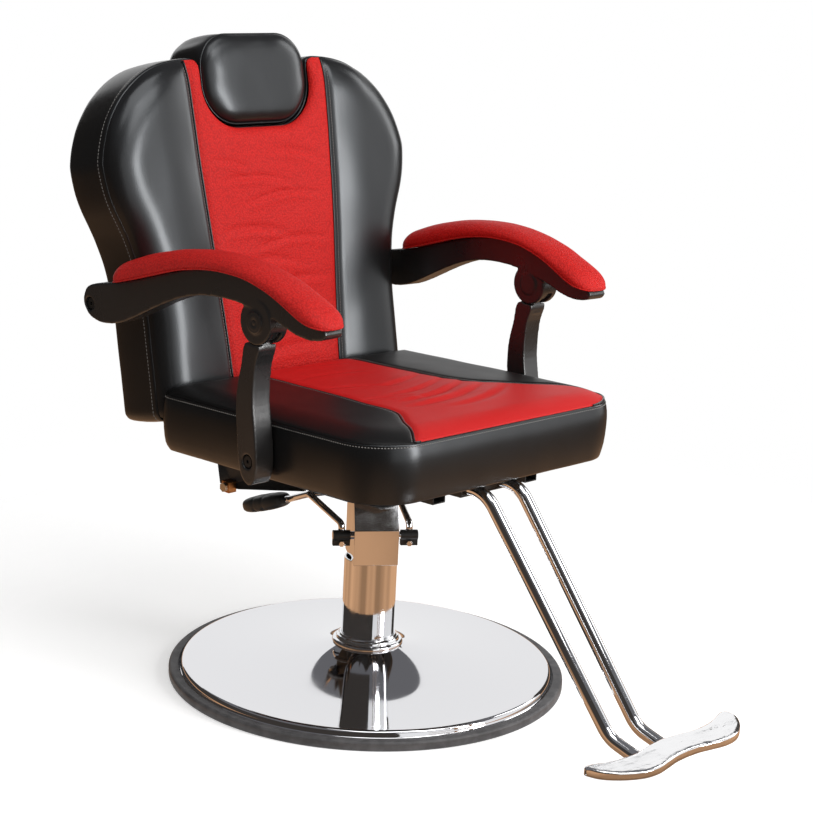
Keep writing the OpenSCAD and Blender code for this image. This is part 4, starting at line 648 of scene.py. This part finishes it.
def shared(points, shares):
    """Points at these shares of the length of a row."""
    lengths = [0]
    for a, b in zip(points, points[1:]):
        lengths.append(lengths[-1] + (b - a).length)
    found = []
    k = 0
    for share in shares:
        want = share * lengths[-1]
        while k < len(points) - 2 and lengths[k + 1] < want:
            k += 1
        t = (want - lengths[k]) / max(1e-9, lengths[k + 1] - lengths[k])
        found.append(points[k].lerp(points[k + 1], max(0, min(1, t))))
    return found


back_outer = eased(back_edge, 4)
horn_inner = [(109, 508), (109, 489)] + arc(notch_flat, 489, notch_corner, 0, -90, 14)[1:]
half_loop = [(0, 0)] + stretch((0, 0), back_edge[0], 12)
half_loop += [tuple(p) for p in back_outer] + [tuple(p) for p in eased(horn_top, 3)][1:]
half_loop += horn_inner[1:] + stretch((notch_flat, notch_floor), (0, notch_floor), 4)
back_loop = half_loop + [(0, notch_floor)] + [(-x, h) for x, h in half_loop[:0:-1]]
back_out = loop_normals(back_loop)
outer_line = [Vector((0, 0))] + back_outer + [Vector(p) for p in horn_top[:3]]


def off_line(x, h, line):
    """Distance from a point to a row of points."""
    p = Vector((x, h))
    best = 1e9
    for a, b in zip(line, line[1:]):
        d = b - a
        t = max(0, min(1, (p - a).dot(d) / max(1e-9, d.dot(d))))
        best = min(best, (p - a - d * t).length)
    return best


notch_line = [Vector(p) for p in horn_top[3:] + horn_inner + [(0, notch_floor)]]
back_creases = [(-110, 338, 60, 326, 5, 2.4), (-70, 298, 112, 310, 5, 2.2),
                (-112, 262, 40, 250, 6, 2.6), (-50, 232, 112, 240, 5, 2.2),
                (-110, 212, 70, 200, 6, 2.0), (-40, 168, 112, 180, 6, 2.4),
                (-110, 120, 90, 132, 7, 2.2), (-90, 60, 100, 74, 8, 2.0),
                (10, 384, 118, 360, 6, 2.2), (-118, 372, -30, 352, 5, 1.8)]


def back_front(x, h):
    """Depth of the backrest's cover, forward negative."""
    edge = off_line(abs(x), h, outer_line)
    seam = follow(back_seam, h)
    from_seam = abs(abs(x) - seam)
    full = roll(edge / back_roll)
    if abs(x) < seam:
        full *= 0.2 + 0.8 * roll(off_line(abs(x), h, notch_line) / 20)
    d = 0.6 - back_crown * full - 2.5 * max(0, 1 - (h / 480 - 0.5) ** 2 * 4) * full
    if abs(x) > seam:
        d -= wing_bulge * math.sin(math.pi / 2 * min(1, from_seam / 76)) * roll(edge / 56)
    d += 3.4 * dent(from_seam, 6) * min(1, edge / 12)
    d += 0.9 * noise.noise(Vector((x, h, 17)) / 70) * min(1, edge / 20)
    if abs(x) < seam:
        d += creases(x, h, back_creases) * min(1, from_seam / 10)
    return d


def wing(name, side):
    """A black wing: a patch whose four sides are its seams."""
    seam_rows, cells = spaced(58, 0.3), spaced(34, 0.5)
    bottom = shared([Vector((follow(back_seam, 0), 0)), Vector((225, 0)), Vector((232, 0)),
                     back_outer[4], Vector((243.8, 6.4))], cells)
    shoulder = shoulder_at * 4
    right = shared([Vector((243.8, 6.4))] + back_outer[9:shoulder + 1], seam_rows)
    top = shared([Vector((137, 525))] + back_outer[:shoulder - 1:-1], cells)
    left = [Vector((follow(back_seam, h), h)) for h in (525 * s for s in seam_rows)]
    rows = []
    for v, s in enumerate(seam_rows):
        row = []
        for u, t in enumerate(cells):
            q = (bottom[u] * (1 - s) + top[u] * s + left[v] * (1 - t) + right[v] * t
                - bottom[0] * (1 - s) * (1 - t) - bottom[-1] * (1 - s) * t
                - top[0] * s * (1 - t) - top[-1] * s * t)
            row.append((side * q.x, back_front(q.x, q.y), q.y))
        rows.append(row)
    piece(name, *skin(rows), black_vinyl, "back", back_place)


wing("back_wing_left", 1)
wing("back_wing_right", -1)

centre_points, centre_faces = [], []


def centre_row(x0, x1, h, cells):
    """Adds one row of the red centre and gives the numbers of its points."""
    start = len(centre_points)
    for t in cells:
        x = x0 + (x1 - x0) * t
        centre_points.append((x, back_front(x, h), h))
    return list(range(start, len(centre_points)))


outer_cells, middle_cells = spaced(18, 0.5), [i / 14 for i in range(15)]
low_rows = [notch_floor * s for s in spaced(140, 0.3)]
arc_rows = [(notch_floor + notch_corner * (1 - math.cos(a)),
             notch_flat + notch_corner * math.sin(a))
            for a in (math.radians(d) for d in range(6, 91, 6))]
horn_rows = arc_rows + [(492 + 16 * i / 5, 109) for i in range(6)]
horn_rows += [(516, 109.6), (521.2, 112.5), (523.4, 115.4), (524.6, 119)]
for side in (-1, 1):
    before = None
    for h in low_rows:
        seam = follow(back_seam, h)
        row = centre_row(side * notch_flat, side * seam, h, outer_cells)
        if before:
            centre_faces += [(before[k], before[k + 1], row[k + 1], row[k])
                             for k in range(len(row) - 1)]
        before = row
    for h, x0 in horn_rows:
        row = centre_row(side * x0, side * follow(back_seam, h), h, outer_cells)
        centre_faces += [(before[k], before[k + 1], row[k + 1], row[k])
                         for k in range(len(row) - 1)]
        before = row
before = None
for h in low_rows:
    row = centre_row(-notch_flat, notch_flat, h, middle_cells)
    if before:
        centre_faces += [(before[k], before[k + 1], row[k + 1], row[k])
                         for k in range(len(row) - 1)]
    before = row
back_centre = piece("back_centre", centre_points, centre_faces, red_pebbled, "back", back_place,
    "red_vinyl")

back_boxing_profile = [(-1, 0.8), (0, 0.2), (1.2, 1.2), (2, 3.5), (2.4, 7), (2.1, 10), (2.6, 16),
                       (3.2, 30), (3.4, 45), (3, 62), (2.2, 74), (1.2, 80), (-0.6, 83.4),
                       (-4, 84.6), (-8, 84.7)]
back_boxing = piece("back_boxing", *skin([[
    (x + nx * (out + 0.5 * noise.noise(Vector((x, d * 0.6, h)) / 40)), d,
     h + ny * (out + 0.5 * noise.noise(Vector((x, d * 0.6, h)) / 40)))
    for out, d in back_boxing_profile] for (x, h), (nx, ny) in zip(back_loop, back_out)], True),
    black_vinyl, "back", back_place)
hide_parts("back_cushion")
rear_loop = [(x - nx * 6, h - ny * 6) for (x, h), (nx, ny) in zip(back_loop, back_out)]
back_rear = piece("back_rear_panel", [(x, 84.75, h) for x, h in rear_loop],
    [tuple(range(len(rear_loop)))], black_vinyl, "back", back_place)
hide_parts("back_board")
back_row = [(x + nx * 2.1, 10, h + ny * 2.1) for (x, h), (nx, ny) in zip(back_loop, back_out)]
stitches("back_boxing_stitches", back_row + back_row[:1],
    [(nx, 0, ny) for nx, ny in back_out], "back", back_place)
for side, hand in ((1, "left"), (-1, "right")):
    seam_line = [Vector((side * follow(back_seam, h), back_front(follow(back_seam, h), h) - 0.5, h))
                 for h in (523.5 * s for s in spaced(70, 0.2))]
    rod("back_seam_cord_" + hand, seam_line, 1.6, black_vinyl, "back", back_place, 10)
    beside = [(side * (follow(back_seam, h) + 5), back_front(follow(back_seam, h) + 5, h), h)
              for h in (8 + 505 * s for s in spaced(70, 0.2))]
    stitches("back_seam_stitches_" + hand, beside, [(0, -1, 0)] * len(beside), "back",
        back_place, 2.9, 4.4, 0.45)

dress(black_steel, "back_straps", "recline_yoke", "headrest_guide", edge=0.6)
dress(zinc_steel, "strap_bolts", edge=0.3)
dress(black_plastic, "guide_screws", edge=0.8)

# Headrest. A block of foam on its own board, covered in black vinyl that is gathered round the
# corners, with a welt round its face. A flat steel bar behind it slides in the backrest's guide.
head_foot, head_top, head_half = 428, 562, 102
head_low_r, head_high_r = 61, 52.5
low_x, low_h = head_half - head_low_r, head_foot + head_low_r
high_x, high_h = head_half - head_high_r, head_top - head_high_r
head_loop = stretch((0, head_foot), (low_x, head_foot), 4) + arc(low_x, low_h, head_low_r, -90, 0, 14)
head_loop += [(head_half, 499)] + arc(high_x, high_h, head_high_r, 0, 90, 14)
head_loop += stretch((high_x, head_top), (0, head_top), 5)
head_loop = [(0, head_foot)] + head_loop + [(0, head_top)] + [(-x, h) for x, h in head_loop[::-1]]
head_out = loop_normals(head_loop)
middle_h, corner_h = 494, 500
head_middle = Vector((0, middle_h))
head_crown, welt_r = 16, 1.1
head_rings = []
for i in range(27):
    s = max(0.02, 1 - (i / 26) ** 1.15)
    ring = []
    for x, h in head_loop:
        q = head_middle.lerp(Vector((x, h)), s)
        rise = head_crown * (1 - s ** 5) ** 0.6
        pull = 0.35 * math.sin(11 * math.atan2(h - middle_h, x)) * dent(s - 0.9, 0.1)
        ring.append((q.x, 0.4 - rise + pull + 0.6 * noise.noise(Vector((q.x, q.y, 3)) / 45), q.y))
    head_rings.append(ring)
head_points, head_faces = skin(head_rings, round_columns=True)
head_faces.append(tuple(range(len(head_points) - len(head_loop), len(head_points))))
head_face = piece("headrest_face", head_points, head_faces, black_vinyl, "headrest", back_place)

head_profile = [(-0.6, 0.6), (0.6, 2), (1.8, 6), (2.6, 14), (3, 26), (3, 42), (2.6, 58), (1.4, 72),
                (-1, 80), (-5, 83.6), (-9, 84.3)]
head_sides = []
for (x, h), (nx, ny) in zip(head_loop, head_out):
    row = []
    round_at = math.atan2(h - corner_h, abs(x))
    folds = math.sin(19 * round_at) * dent(round_at - 0.75, 0.5)
    for out, d in head_profile:
        out += 1.6 * folds * math.sin(math.pi * min(1, d / 84))
        row.append((x + nx * out, d, h + ny * out))
    head_sides.append(row)
head_boxing = piece("headrest_sides", *skin(head_sides, True), black_vinyl, "headrest", back_place)
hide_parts("headrest_cushion")
head_rear = piece("headrest_rear", [(x - nx * 7, 84.4, h - ny * 7) for (x, h), (nx, ny) in
    zip(head_loop, head_out)], [tuple(range(len(head_loop)))], black_vinyl, "headrest", back_place)
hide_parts("headrest_board")
head_welt_line = [Vector((x + nx * 0.6, 0.6, h + ny * 0.6)) for (x, h), (nx, ny) in
                  zip(head_loop, head_out)]
rod("headrest_welt", head_welt_line + head_welt_line[:2], welt_r, black_vinyl, "headrest",
    back_place, 12)
dress(plain_steel, "headrest_bar", edge=0.6)

# Arms. Each is a moulding of black polyurethane over a steel core, arched over its hub, with
# two cheeks round the tongue of the post. A red foam pad is stapled on top. Spacers and socket
# bolts fix the posts to the seat and the rear ends to the backrest.
black_moulding = new_finish("black_moulding", (0.014, 0.0135, 0.0135), 0.36,
    Specular_IOR_Level=0.9)
relief(black_moulding, (mottle(black_moulding, 900, 2), 0.00012))
feed(black_moulding, "Roughness", between(black_moulding, mottle(black_moulding, 16, 1), 0.26, 0.36))


def moulded(finish, cell, passes, *names):
    """Gives moulded pieces their finish, with every edge rounded as it leaves the mould."""
    for name in names:
        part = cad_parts[name]
        for held in part.material_slots:
            held.material = finish
        weld = part.modifiers.new("weld", "WELD")
        weld.merge_threshold = 0.02 * MM
        cells = part.modifiers.new("cells", "REMESH")
        cells.mode = "VOXEL"
        cells.voxel_size = cell * MM
        cells.use_smooth_shade = True
        rounded = part.modifiers.new("rounded", "SMOOTH")
        rounded.factor = 0.5
        rounded.iterations = passes


moulded(black_moulding, 1.3, 14, "post_left", "post_right")
moulded(black_moulding, 1.5, 5, "arm_left", "arm_right")
dress(black_steel, "post_spacers", "arm_spacers_rear")
dress(black_zinc, "post_bolts", "arm_bolts_rear", edge=0.3)

arm_reach, arch_h, pad_crown_h, pad_half = 344, 61.5, 83, 32
hub = Vector((275, -54, 587))
arm_place = Matrix.Translation(hub) @ Matrix.Rotation(math.radians(-3.5), 4, "Z")
arm_top = [(-0.372, 0.17), (-0.325, 0.24), (-0.265, 0.365), (-0.2, 0.54), (-0.126, 0.725),
           (-0.052, 0.86), (0.022, 0.955), (0.097, 0.995), (0.192, 1), (0.288, 0.95),
           (0.406, 0.83), (0.505, 0.68), (0.606, 0.51), (0.688, 0.375), (0.76, 0.26), (0.85, 0.15),
           (0.933, 0.07)]
pad_top = [(-0.384, 0.235), (-0.37, 0.31), (-0.345, 0.39), (-0.31, 0.465), (-0.256, 0.566),
           (-0.2, 0.655), (-0.14, 0.75), (-0.06, 0.845), (0.022, 0.918), (0.11, 0.97),
           (0.19, 0.993), (0.25, 0.99), (0.32, 0.976), (0.406, 0.94), (0.505, 0.869),
           (0.62, 0.752), (0.74, 0.585), (0.84, 0.42), (0.9, 0.31), (0.93, 0.25)]
pad_front, pad_rear = -0.386, 0.855


def pad_end(s):
    """Share of the pad's full width at a station, round at both ends."""
    ends = 0
    for gap in (s - pad_front, pad_rear - s):
        past = max(0, pad_half - max(0, gap) * arm_reach)
        ends += pad_half - math.sqrt(pad_half ** 2 - past ** 2)
    return 1 - 0.94 * ends / pad_half


pad_rows = []
for t in spaced(86, 0.75):
    s = pad_front + (pad_rear - pad_front) * t
    low = arch_h * follow(arm_top, s) + 0.4
    full = pad_end(s)
    high = low + (pad_crown_h * follow(pad_top, s) - low) * (0.35 + 0.65 * full)
    row = []
    for k in range(33):
        a = math.pi * k / 32
        x = math.copysign(abs(math.cos(a)) ** 0.8, math.cos(a)) * pad_half * full
        rise = math.sin(a) ** 0.62
        x *= 1 + 0.045 * math.sin(math.pi * min(1, rise * 1.4))
        z = low + rise * (high - low) + 0.4 * noise.noise(Vector((x, s * arm_reach, 2)) / 30) * rise
        row.append((x, s * arm_reach, z))
    row += [(row[-1][0] * c, s * arm_reach, low) for c in (0.6, 0, -0.6)]
    pad_rows.append(row)
for side, hand in ((1, "left"), (-1, "right")):
    mirror = Matrix.Scale(side, 4, (1, 0, 0))
    points, faces = skin(pad_rows, round_columns=True)
    width = len(pad_rows[0])
    faces += [tuple(range(width)), tuple(range(len(points) - width, len(points)))]
    pad = piece("arm_pad_" + hand, points, faces, red_pebbled, "arm_" + hand, mirror @ arm_place,
        "red_vinyl")
    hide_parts("pad_" + hand)
    edge_line = [Vector((row[0][0] + 0.3, row[0][1], row[0][2] + 0.8)) for row in pad_rows]
    edge_line += [Vector((row[32][0] - 0.3, row[32][1], row[32][2] + 0.8)) for row in pad_rows[::-1]]
    rod("arm_pad_welt_" + hand, edge_line + edge_line[:2], welt_r, red_pebbled, "arm_" + hand,
        mirror @ arm_place, 8, "red_vinyl")
    cap = [(0, 1.3), (3.5, 1.3), (4, 0.9), (4.6, 1.3), (11, 1.6), (12, 1.2), (13, 1.5), (14.6, 1.2),
           (15.2, 0.4), (15.2, -0.2), (0, -0.2)]
    rows = [[(16.5 + 1.2 + z, r * math.cos(a), r * math.sin(a)) for r, z in cap]
            for a in (math.tau * i / 48 for i in range(48))]
    piece("hub_cap_" + hand, *skin(rows, True, True), black_moulding, "arm_" + hand,
        mirror @ Matrix.Translation(hub))

# Footrest. Two bent tubes of chromed steel, held in the saddles under the seat, carry a winged
# footplate of polished cast aluminium with a raised rim. Two screws hold it from below.
tube_r, tube_bend_r, toe_x, toe_z = 9.5, 49.4, 29.5, 57.3
slant_y, slant_foot, slant = -0.575, 0.0478, 0.95
tube_line = along([(34, -133.5, 349.16), (34, -257, 353.47), (toe_x, -501, 68),
                   (toe_x, -544, toe_z), (toe_x, -592, toe_z)], tube_bend_r)
for side, hand in ((1, "left"), (-1, "right")):
    tube = rod("footrest_tube_bent_" + hand, [Vector((side * p.x, p.y, p.z)) for p in tube_line],
        tube_r, chrome, "seat")
    for v in tube.data.vertices:
        over = slant_y - v.co.y
        if over > 0:
            v.co.z = max(v.co.z, slant_foot + over * slant)
    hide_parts("footrest_tube_" + hand)

cast_aluminium = new_finish("cast_aluminium", (0.9, 0.9, 0.91), 0.12, 1.0)
feed(cast_aluminium, "Roughness",
    between(cast_aluminium, mottle(cast_aluminium, 30), 0.08, 0.2))
relief(cast_aluminium, (mottle(cast_aluminium, 24, 4, (1, 2.2, 1)), 0.0016))
foot_half, foot_y, foot_depth, foot_z, foot_rim = 152, -563, 48, 70, 11
foot_front = [(0, 0.97), (0.16, 1), (0.32, 1.1), (0.48, 1.18), (0.64, 1.12), (0.8, 0.88),
              (0.92, 0.56), (0.975, 0.3), (1, 0.02)]
foot_rear = [(0, 0), (0.2, 0.07), (0.4, 0.17), (0.6, 0.15), (0.76, 0.04), (0.88, -0.1),
             (0.95, -0.14), (0.985, -0.1), (1, -0.02)]
foot_rows = []
for t in spaced(110, 0.55):
    x = foot_half * (2 * t - 1)
    s = min(1, abs(x) / foot_half)
    near, far = follow(foot_rear, s), follow(foot_front, s)
    middle = (near + far) / 2
    row = []
    for k in range(25):
        across = -math.cos(math.pi * k / 24)
        y = middle + (far - near) / 2 * across
        edge = min((1 - abs(across)) * (far - near) / 2 * foot_depth, (1 - s) * foot_half * 0.9)
        z = foot_rim + 2.8 * roll(edge / 6.5) - 2.8
        reach = math.hypot(x * 0.7, (y - 0.5) * foot_depth)
        fan = math.atan2((y - 0.35) * foot_depth, abs(x) - 20)
        z += 0.7 * roll(edge / 16) * max(0, math.cos(7 * fan)) ** 3 * min(1, reach / 50)
        row.append((x, foot_y - y * foot_depth, foot_z + z))
    rim_low = [(row[-1][0], row[-1][1], foot_z), (row[-1][0] * 0.985, row[-1][1] + 3, foot_z)]
    rim_near = [(row[0][0] * 0.985, row[0][1] - 3, foot_z), (row[0][0], row[0][1], foot_z)]
    under = [(p[0] * 0.985, p[1] + (3 if k < 2 else -3 if k > 2 else 0), foot_z + foot_rim - 4)
             for k, p in enumerate((row[-1], row[18], row[12], row[6], row[0]))]
    foot_rows.append(row + rim_low + under + rim_near)
foot_points, foot_faces = skin(foot_rows, round_columns=True)
footplate = piece("footplate_casting", foot_points, foot_faces, cast_aluminium, "seat",
    slot="chrome")
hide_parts("footplate")
screw_rows = [[(r * math.cos(a), r * math.sin(a), z) for r, z in
    ((0.01, 76), (2.3, 76), (2.4, 62), (5.2, 62), (5.4, 61.6), (5.4, 59.4), (4.8, 58.6), (0.01, 58.5))]
    for a in (math.tau * i / 32 for i in range(32))]
screw_points, screw_faces = skin(screw_rows, True)
screw_y = -589.4
screws = piece("footplate_screw_pair", [(x + side * toe_x, y + screw_y, z) for side in (-1, 1)
    for x, y, z in screw_points], screw_faces + [tuple(k + len(screw_points) for k in face)
    for face in screw_faces], zinc_steel, "seat")
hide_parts("footplate_screws")

# Studio. A pale floor that fades into white; a warm card round the chair that glows though it is no
# lamp and shows only in reflections, painting a streaked warm reflection into the metal; dark walls
# and a dim ceiling, likewise glowing cards that paint dark reflections; and soft lamps in front, above
# and aside.
floor_finish = bpy.data.materials.new("pale_floor")
floor_finish.use_nodes = True
floor_shader = floor_finish.node_tree.nodes["Principled BSDF"]
floor_shader.inputs["Base Color"].default_value = (0.9, 0.9, 0.9, 1)
floor_shader.inputs["Roughness"].default_value = 0.8
spot = put(floor_finish, "TexCoord")
away = put(floor_finish, "VectorMath", operation="LENGTH")
floor_finish.node_tree.links.new(spot.outputs["Object"], away.inputs[0])
clear = put(floor_finish, "MapRange", Value=away.outputs["Value"], From_Min=0.3, From_Max=1.5,
    To_Min=1, To_Max=0, interpolation_type="SMOOTHSTEP")
floor_shader.inputs["Emission Color"].default_value = (1, 1, 1, 1)
to_camera = put(floor_finish, "LightPath")
lift = put(floor_finish, "Math", operation="MULTIPLY")
floor_finish.node_tree.links.new(to_camera.outputs["Is Camera Ray"], lift.inputs[0])
lift.inputs[1].default_value = 0.3
feed(floor_finish, "Emission Strength", lift.outputs["Value"])
relief(floor_finish, (mottle(floor_finish, 40), 0.0002))
feed(floor_finish, "Alpha", clear.outputs["Result"])


def flat_ring(name, inner, outer, z, finish, steps=96):
    """A flat ring, in metres."""
    rows = [[(r * math.cos(a), r * math.sin(a), z) for r in (inner, outer)]
            for a in (math.tau * i / steps for i in range(steps))]
    mesh = bpy.data.meshes.new(name)
    points, faces = skin(rows, True)
    mesh.from_pydata(points, [], faces)
    mesh.materials.append(finish)
    made = bpy.data.objects.new(name, mesh)
    scene.collection.objects.link(made)
    return made


floor = flat_ring("floor", 0.0001, 1.8, -0.0004, floor_finish)
floor.visible_glossy = False

# Painted reflection: a warm glowing card, seen only in the shine of the metal, brighter near the chair
# and streaked with direction.
warm_board = bpy.data.materials.new("warm_board")
warm_board.use_nodes = True
board_nodes = warm_board.node_tree
board_nodes.nodes.remove(board_nodes.nodes["Principled BSDF"])
board_place = put(warm_board, "TexCoord")
board_away = put(warm_board, "VectorMath", operation="LENGTH")
board_nodes.links.new(board_place.outputs["Object"], board_away.inputs[0])
fall = put(warm_board, "MapRange", Value=board_away.outputs["Value"], From_Min=0.8, From_Max=1.7,
    To_Min=1, To_Max=0.24)
board_way = put(warm_board, "VectorMath", operation="NORMALIZE")
board_nodes.links.new(board_place.outputs["Object"], board_way.inputs[0])
# Painted streaks in the warm reflection, changing with direction round the chair.
reflection_streaks = put(warm_board, "TexNoise", Vector=board_way.outputs["Vector"], Scale=1.4, Detail=1)
streak = put(warm_board, "MapRange", Value=reflection_streaks.outputs["Fac"], From_Min=0.36, From_Max=0.6,
    To_Min=0.55, To_Max=1.15)
level = put(warm_board, "Math", operation="MULTIPLY")
board_nodes.links.new(fall.outputs["Result"], level.inputs[0])
board_nodes.links.new(streak.outputs["Result"], level.inputs[1])
glow = put(warm_board, "Emission", Color=(0.62, 0.35, 0.19, 1), Strength=level.outputs["Value"])
board_nodes.links.new(glow.outputs["Emission"], board_nodes.nodes["Material Output"].inputs["Surface"])
board = flat_ring("warm_board", 0.31, 4.5, -0.0008, warm_board)


def only_in_shine(card):
    """Hides a card from all but the reflections."""
    card.visible_camera = False
    card.visible_diffuse = False
    card.visible_shadow = False
    card.visible_transmission = False


only_in_shine(board)


def card_finish(name, colour):
    """A plain glow for a card that shows only in the shine."""
    finish = bpy.data.materials.new(name)
    finish.use_nodes = True
    finish.node_tree.nodes.remove(finish.node_tree.nodes["Principled BSDF"])
    plain = put(finish, "Emission", Color=(*colour, 1), Strength=1.0)
    out = finish.node_tree.nodes["Material Output"]
    finish.node_tree.links.new(plain.outputs["Emission"], out.inputs["Surface"])
    return finish


# Painted reflections: dark and dim glowing cards that show only in the shine of the surfaces.
dark_wall_finish = card_finish("dark_wall", (0.05, 0.044, 0.04))
dim_ceiling_finish = card_finish("dim_ceiling", (0.15, 0.15, 0.16))


def curved_wall(name, start, end, low, high, radius=3.8, steps=40):
    """A glowing dark card that curves round the chair between two azimuths, seen only in its shine,
    where it paints a dark reflection.
    """
    rows = [[(-radius * math.sin(a), -radius * math.cos(a), z) for z in (low, high)]
            for a in (math.radians(start + (end - start) * i / steps) for i in range(steps + 1))]
    mesh = bpy.data.meshes.new(name)
    points, faces = skin(rows)
    mesh.from_pydata(points, [], faces)
    mesh.materials.append(dark_wall_finish)
    made = bpy.data.objects.new(name, mesh)
    scene.collection.objects.link(made)
    only_in_shine(made)


curved_wall("dark_wall_camera", 24, 186, -0.01, 4.2)
curved_wall("dark_wall_far", -112, -82, -0.01, 2.2)
only_in_shine(flat_ring("dim_ceiling", 0.0001, 5.0, 3.4, dim_ceiling_finish))

world = bpy.data.worlds.new("studio")
scene.world = world
world.use_nodes = True
sky = world.node_tree
sky_out = sky.nodes["World Output"]
white = sky.nodes["Background"]
white.inputs["Color"].default_value = (1, 1, 1, 1)
white.inputs["Strength"].default_value = 1.0
soft = sky.nodes.new("ShaderNodeBackground")
soft.inputs["Color"].default_value = (1, 0.99, 0.98, 1)
soft.inputs["Strength"].default_value = 0.62
rays = sky.nodes.new("ShaderNodeLightPath")
seen = sky.nodes.new("ShaderNodeMath")
seen.operation = "ADD"
sky.links.new(rays.outputs["Is Camera Ray"], seen.inputs[0])
seen_more = sky.nodes.new("ShaderNodeMath")
seen_more.operation = "ADD"
seen_more.use_clamp = True
sky.links.new(rays.outputs["Is Glossy Ray"], seen.inputs[1])
sky.links.new(seen.outputs[0], seen_more.inputs[0])
sky.links.new(rays.outputs["Is Transmission Ray"], seen_more.inputs[1])
choice = sky.nodes.new("ShaderNodeMixShader")
sky.links.new(seen_more.outputs[0], choice.inputs[0])
sky.links.new(soft.outputs[0], choice.inputs[1])
sky.links.new(white.outputs[0], choice.inputs[2])
sky.links.new(choice.outputs[0], sky_out.inputs["Surface"])


def lamp(name, azimuth, elevation, distance, width, height, watts, aim=(0, 0, 0.5)):
    """A soft box that faces the chair. Azimuth 0 is in front, 90 on the sitter's right."""
    az, el = math.radians(azimuth), math.radians(elevation)
    data = bpy.data.lights.new(name, "AREA")
    data.shape = "RECTANGLE"
    data.size, data.size_y = width, height
    data.energy = watts
    made = bpy.data.objects.new(name, data)
    scene.collection.objects.link(made)
    where = Vector((-math.sin(az) * math.cos(el), -math.cos(az) * math.cos(el), math.sin(el)))
    made.location = Vector(aim) + where * distance
    made.rotation_euler = (-where).to_track_quat("-Z", "Y").to_euler()
    return made


lamp("key_box", -20, 12, 2.6, 0.7, 1.5, 44)
lamp("upper_box", -10, 48, 2.7, 1.2, 1.0, 18)
lamp("top_box", 20, 72, 2.6, 1.6, 1.6, 22)
lamp("side_box", -75, 25, 2.8, 0.6, 1.6, 12)

# Camera. It stands in front of the chair on the sitter's right, a little above the arms, and is
# rolled by a few degrees as the photograph is.
eye_azimuth, eye_elevation, eye_roll = (math.radians(a) for a in (-45.41, 13.82, 2.78))
back_way = Vector((math.sin(eye_azimuth) * math.cos(eye_elevation),
    -math.cos(eye_azimuth) * math.cos(eye_elevation), math.sin(eye_elevation)))
right_way = Vector((math.cos(eye_azimuth), math.sin(eye_azimuth), 0))
up_way = back_way.cross(right_way)
rolled_right = right_way * math.cos(eye_roll) + up_way * math.sin(eye_roll)
rolled_up = up_way * math.cos(eye_roll) - right_way * math.sin(eye_roll)
eye = right_way * 0.0426 + Vector((0, 0, 0.42098)) + back_way * 2.97901
camera_data = bpy.data.cameras.new("camera")
camera_data.lens, camera_data.sensor_width = 89.08, 36
camera = bpy.data.objects.new("camera", camera_data)
scene.collection.objects.link(camera)
camera.matrix_world = Matrix((
    (rolled_right.x, rolled_up.x, back_way.x, eye.x),
    (rolled_right.y, rolled_up.y, back_way.y, eye.y),
    (rolled_right.z, rolled_up.z, back_way.z, eye.z),
    (0, 0, 0, 1)))
scene.camera = camera
scene.view_settings.view_transform = "Standard"
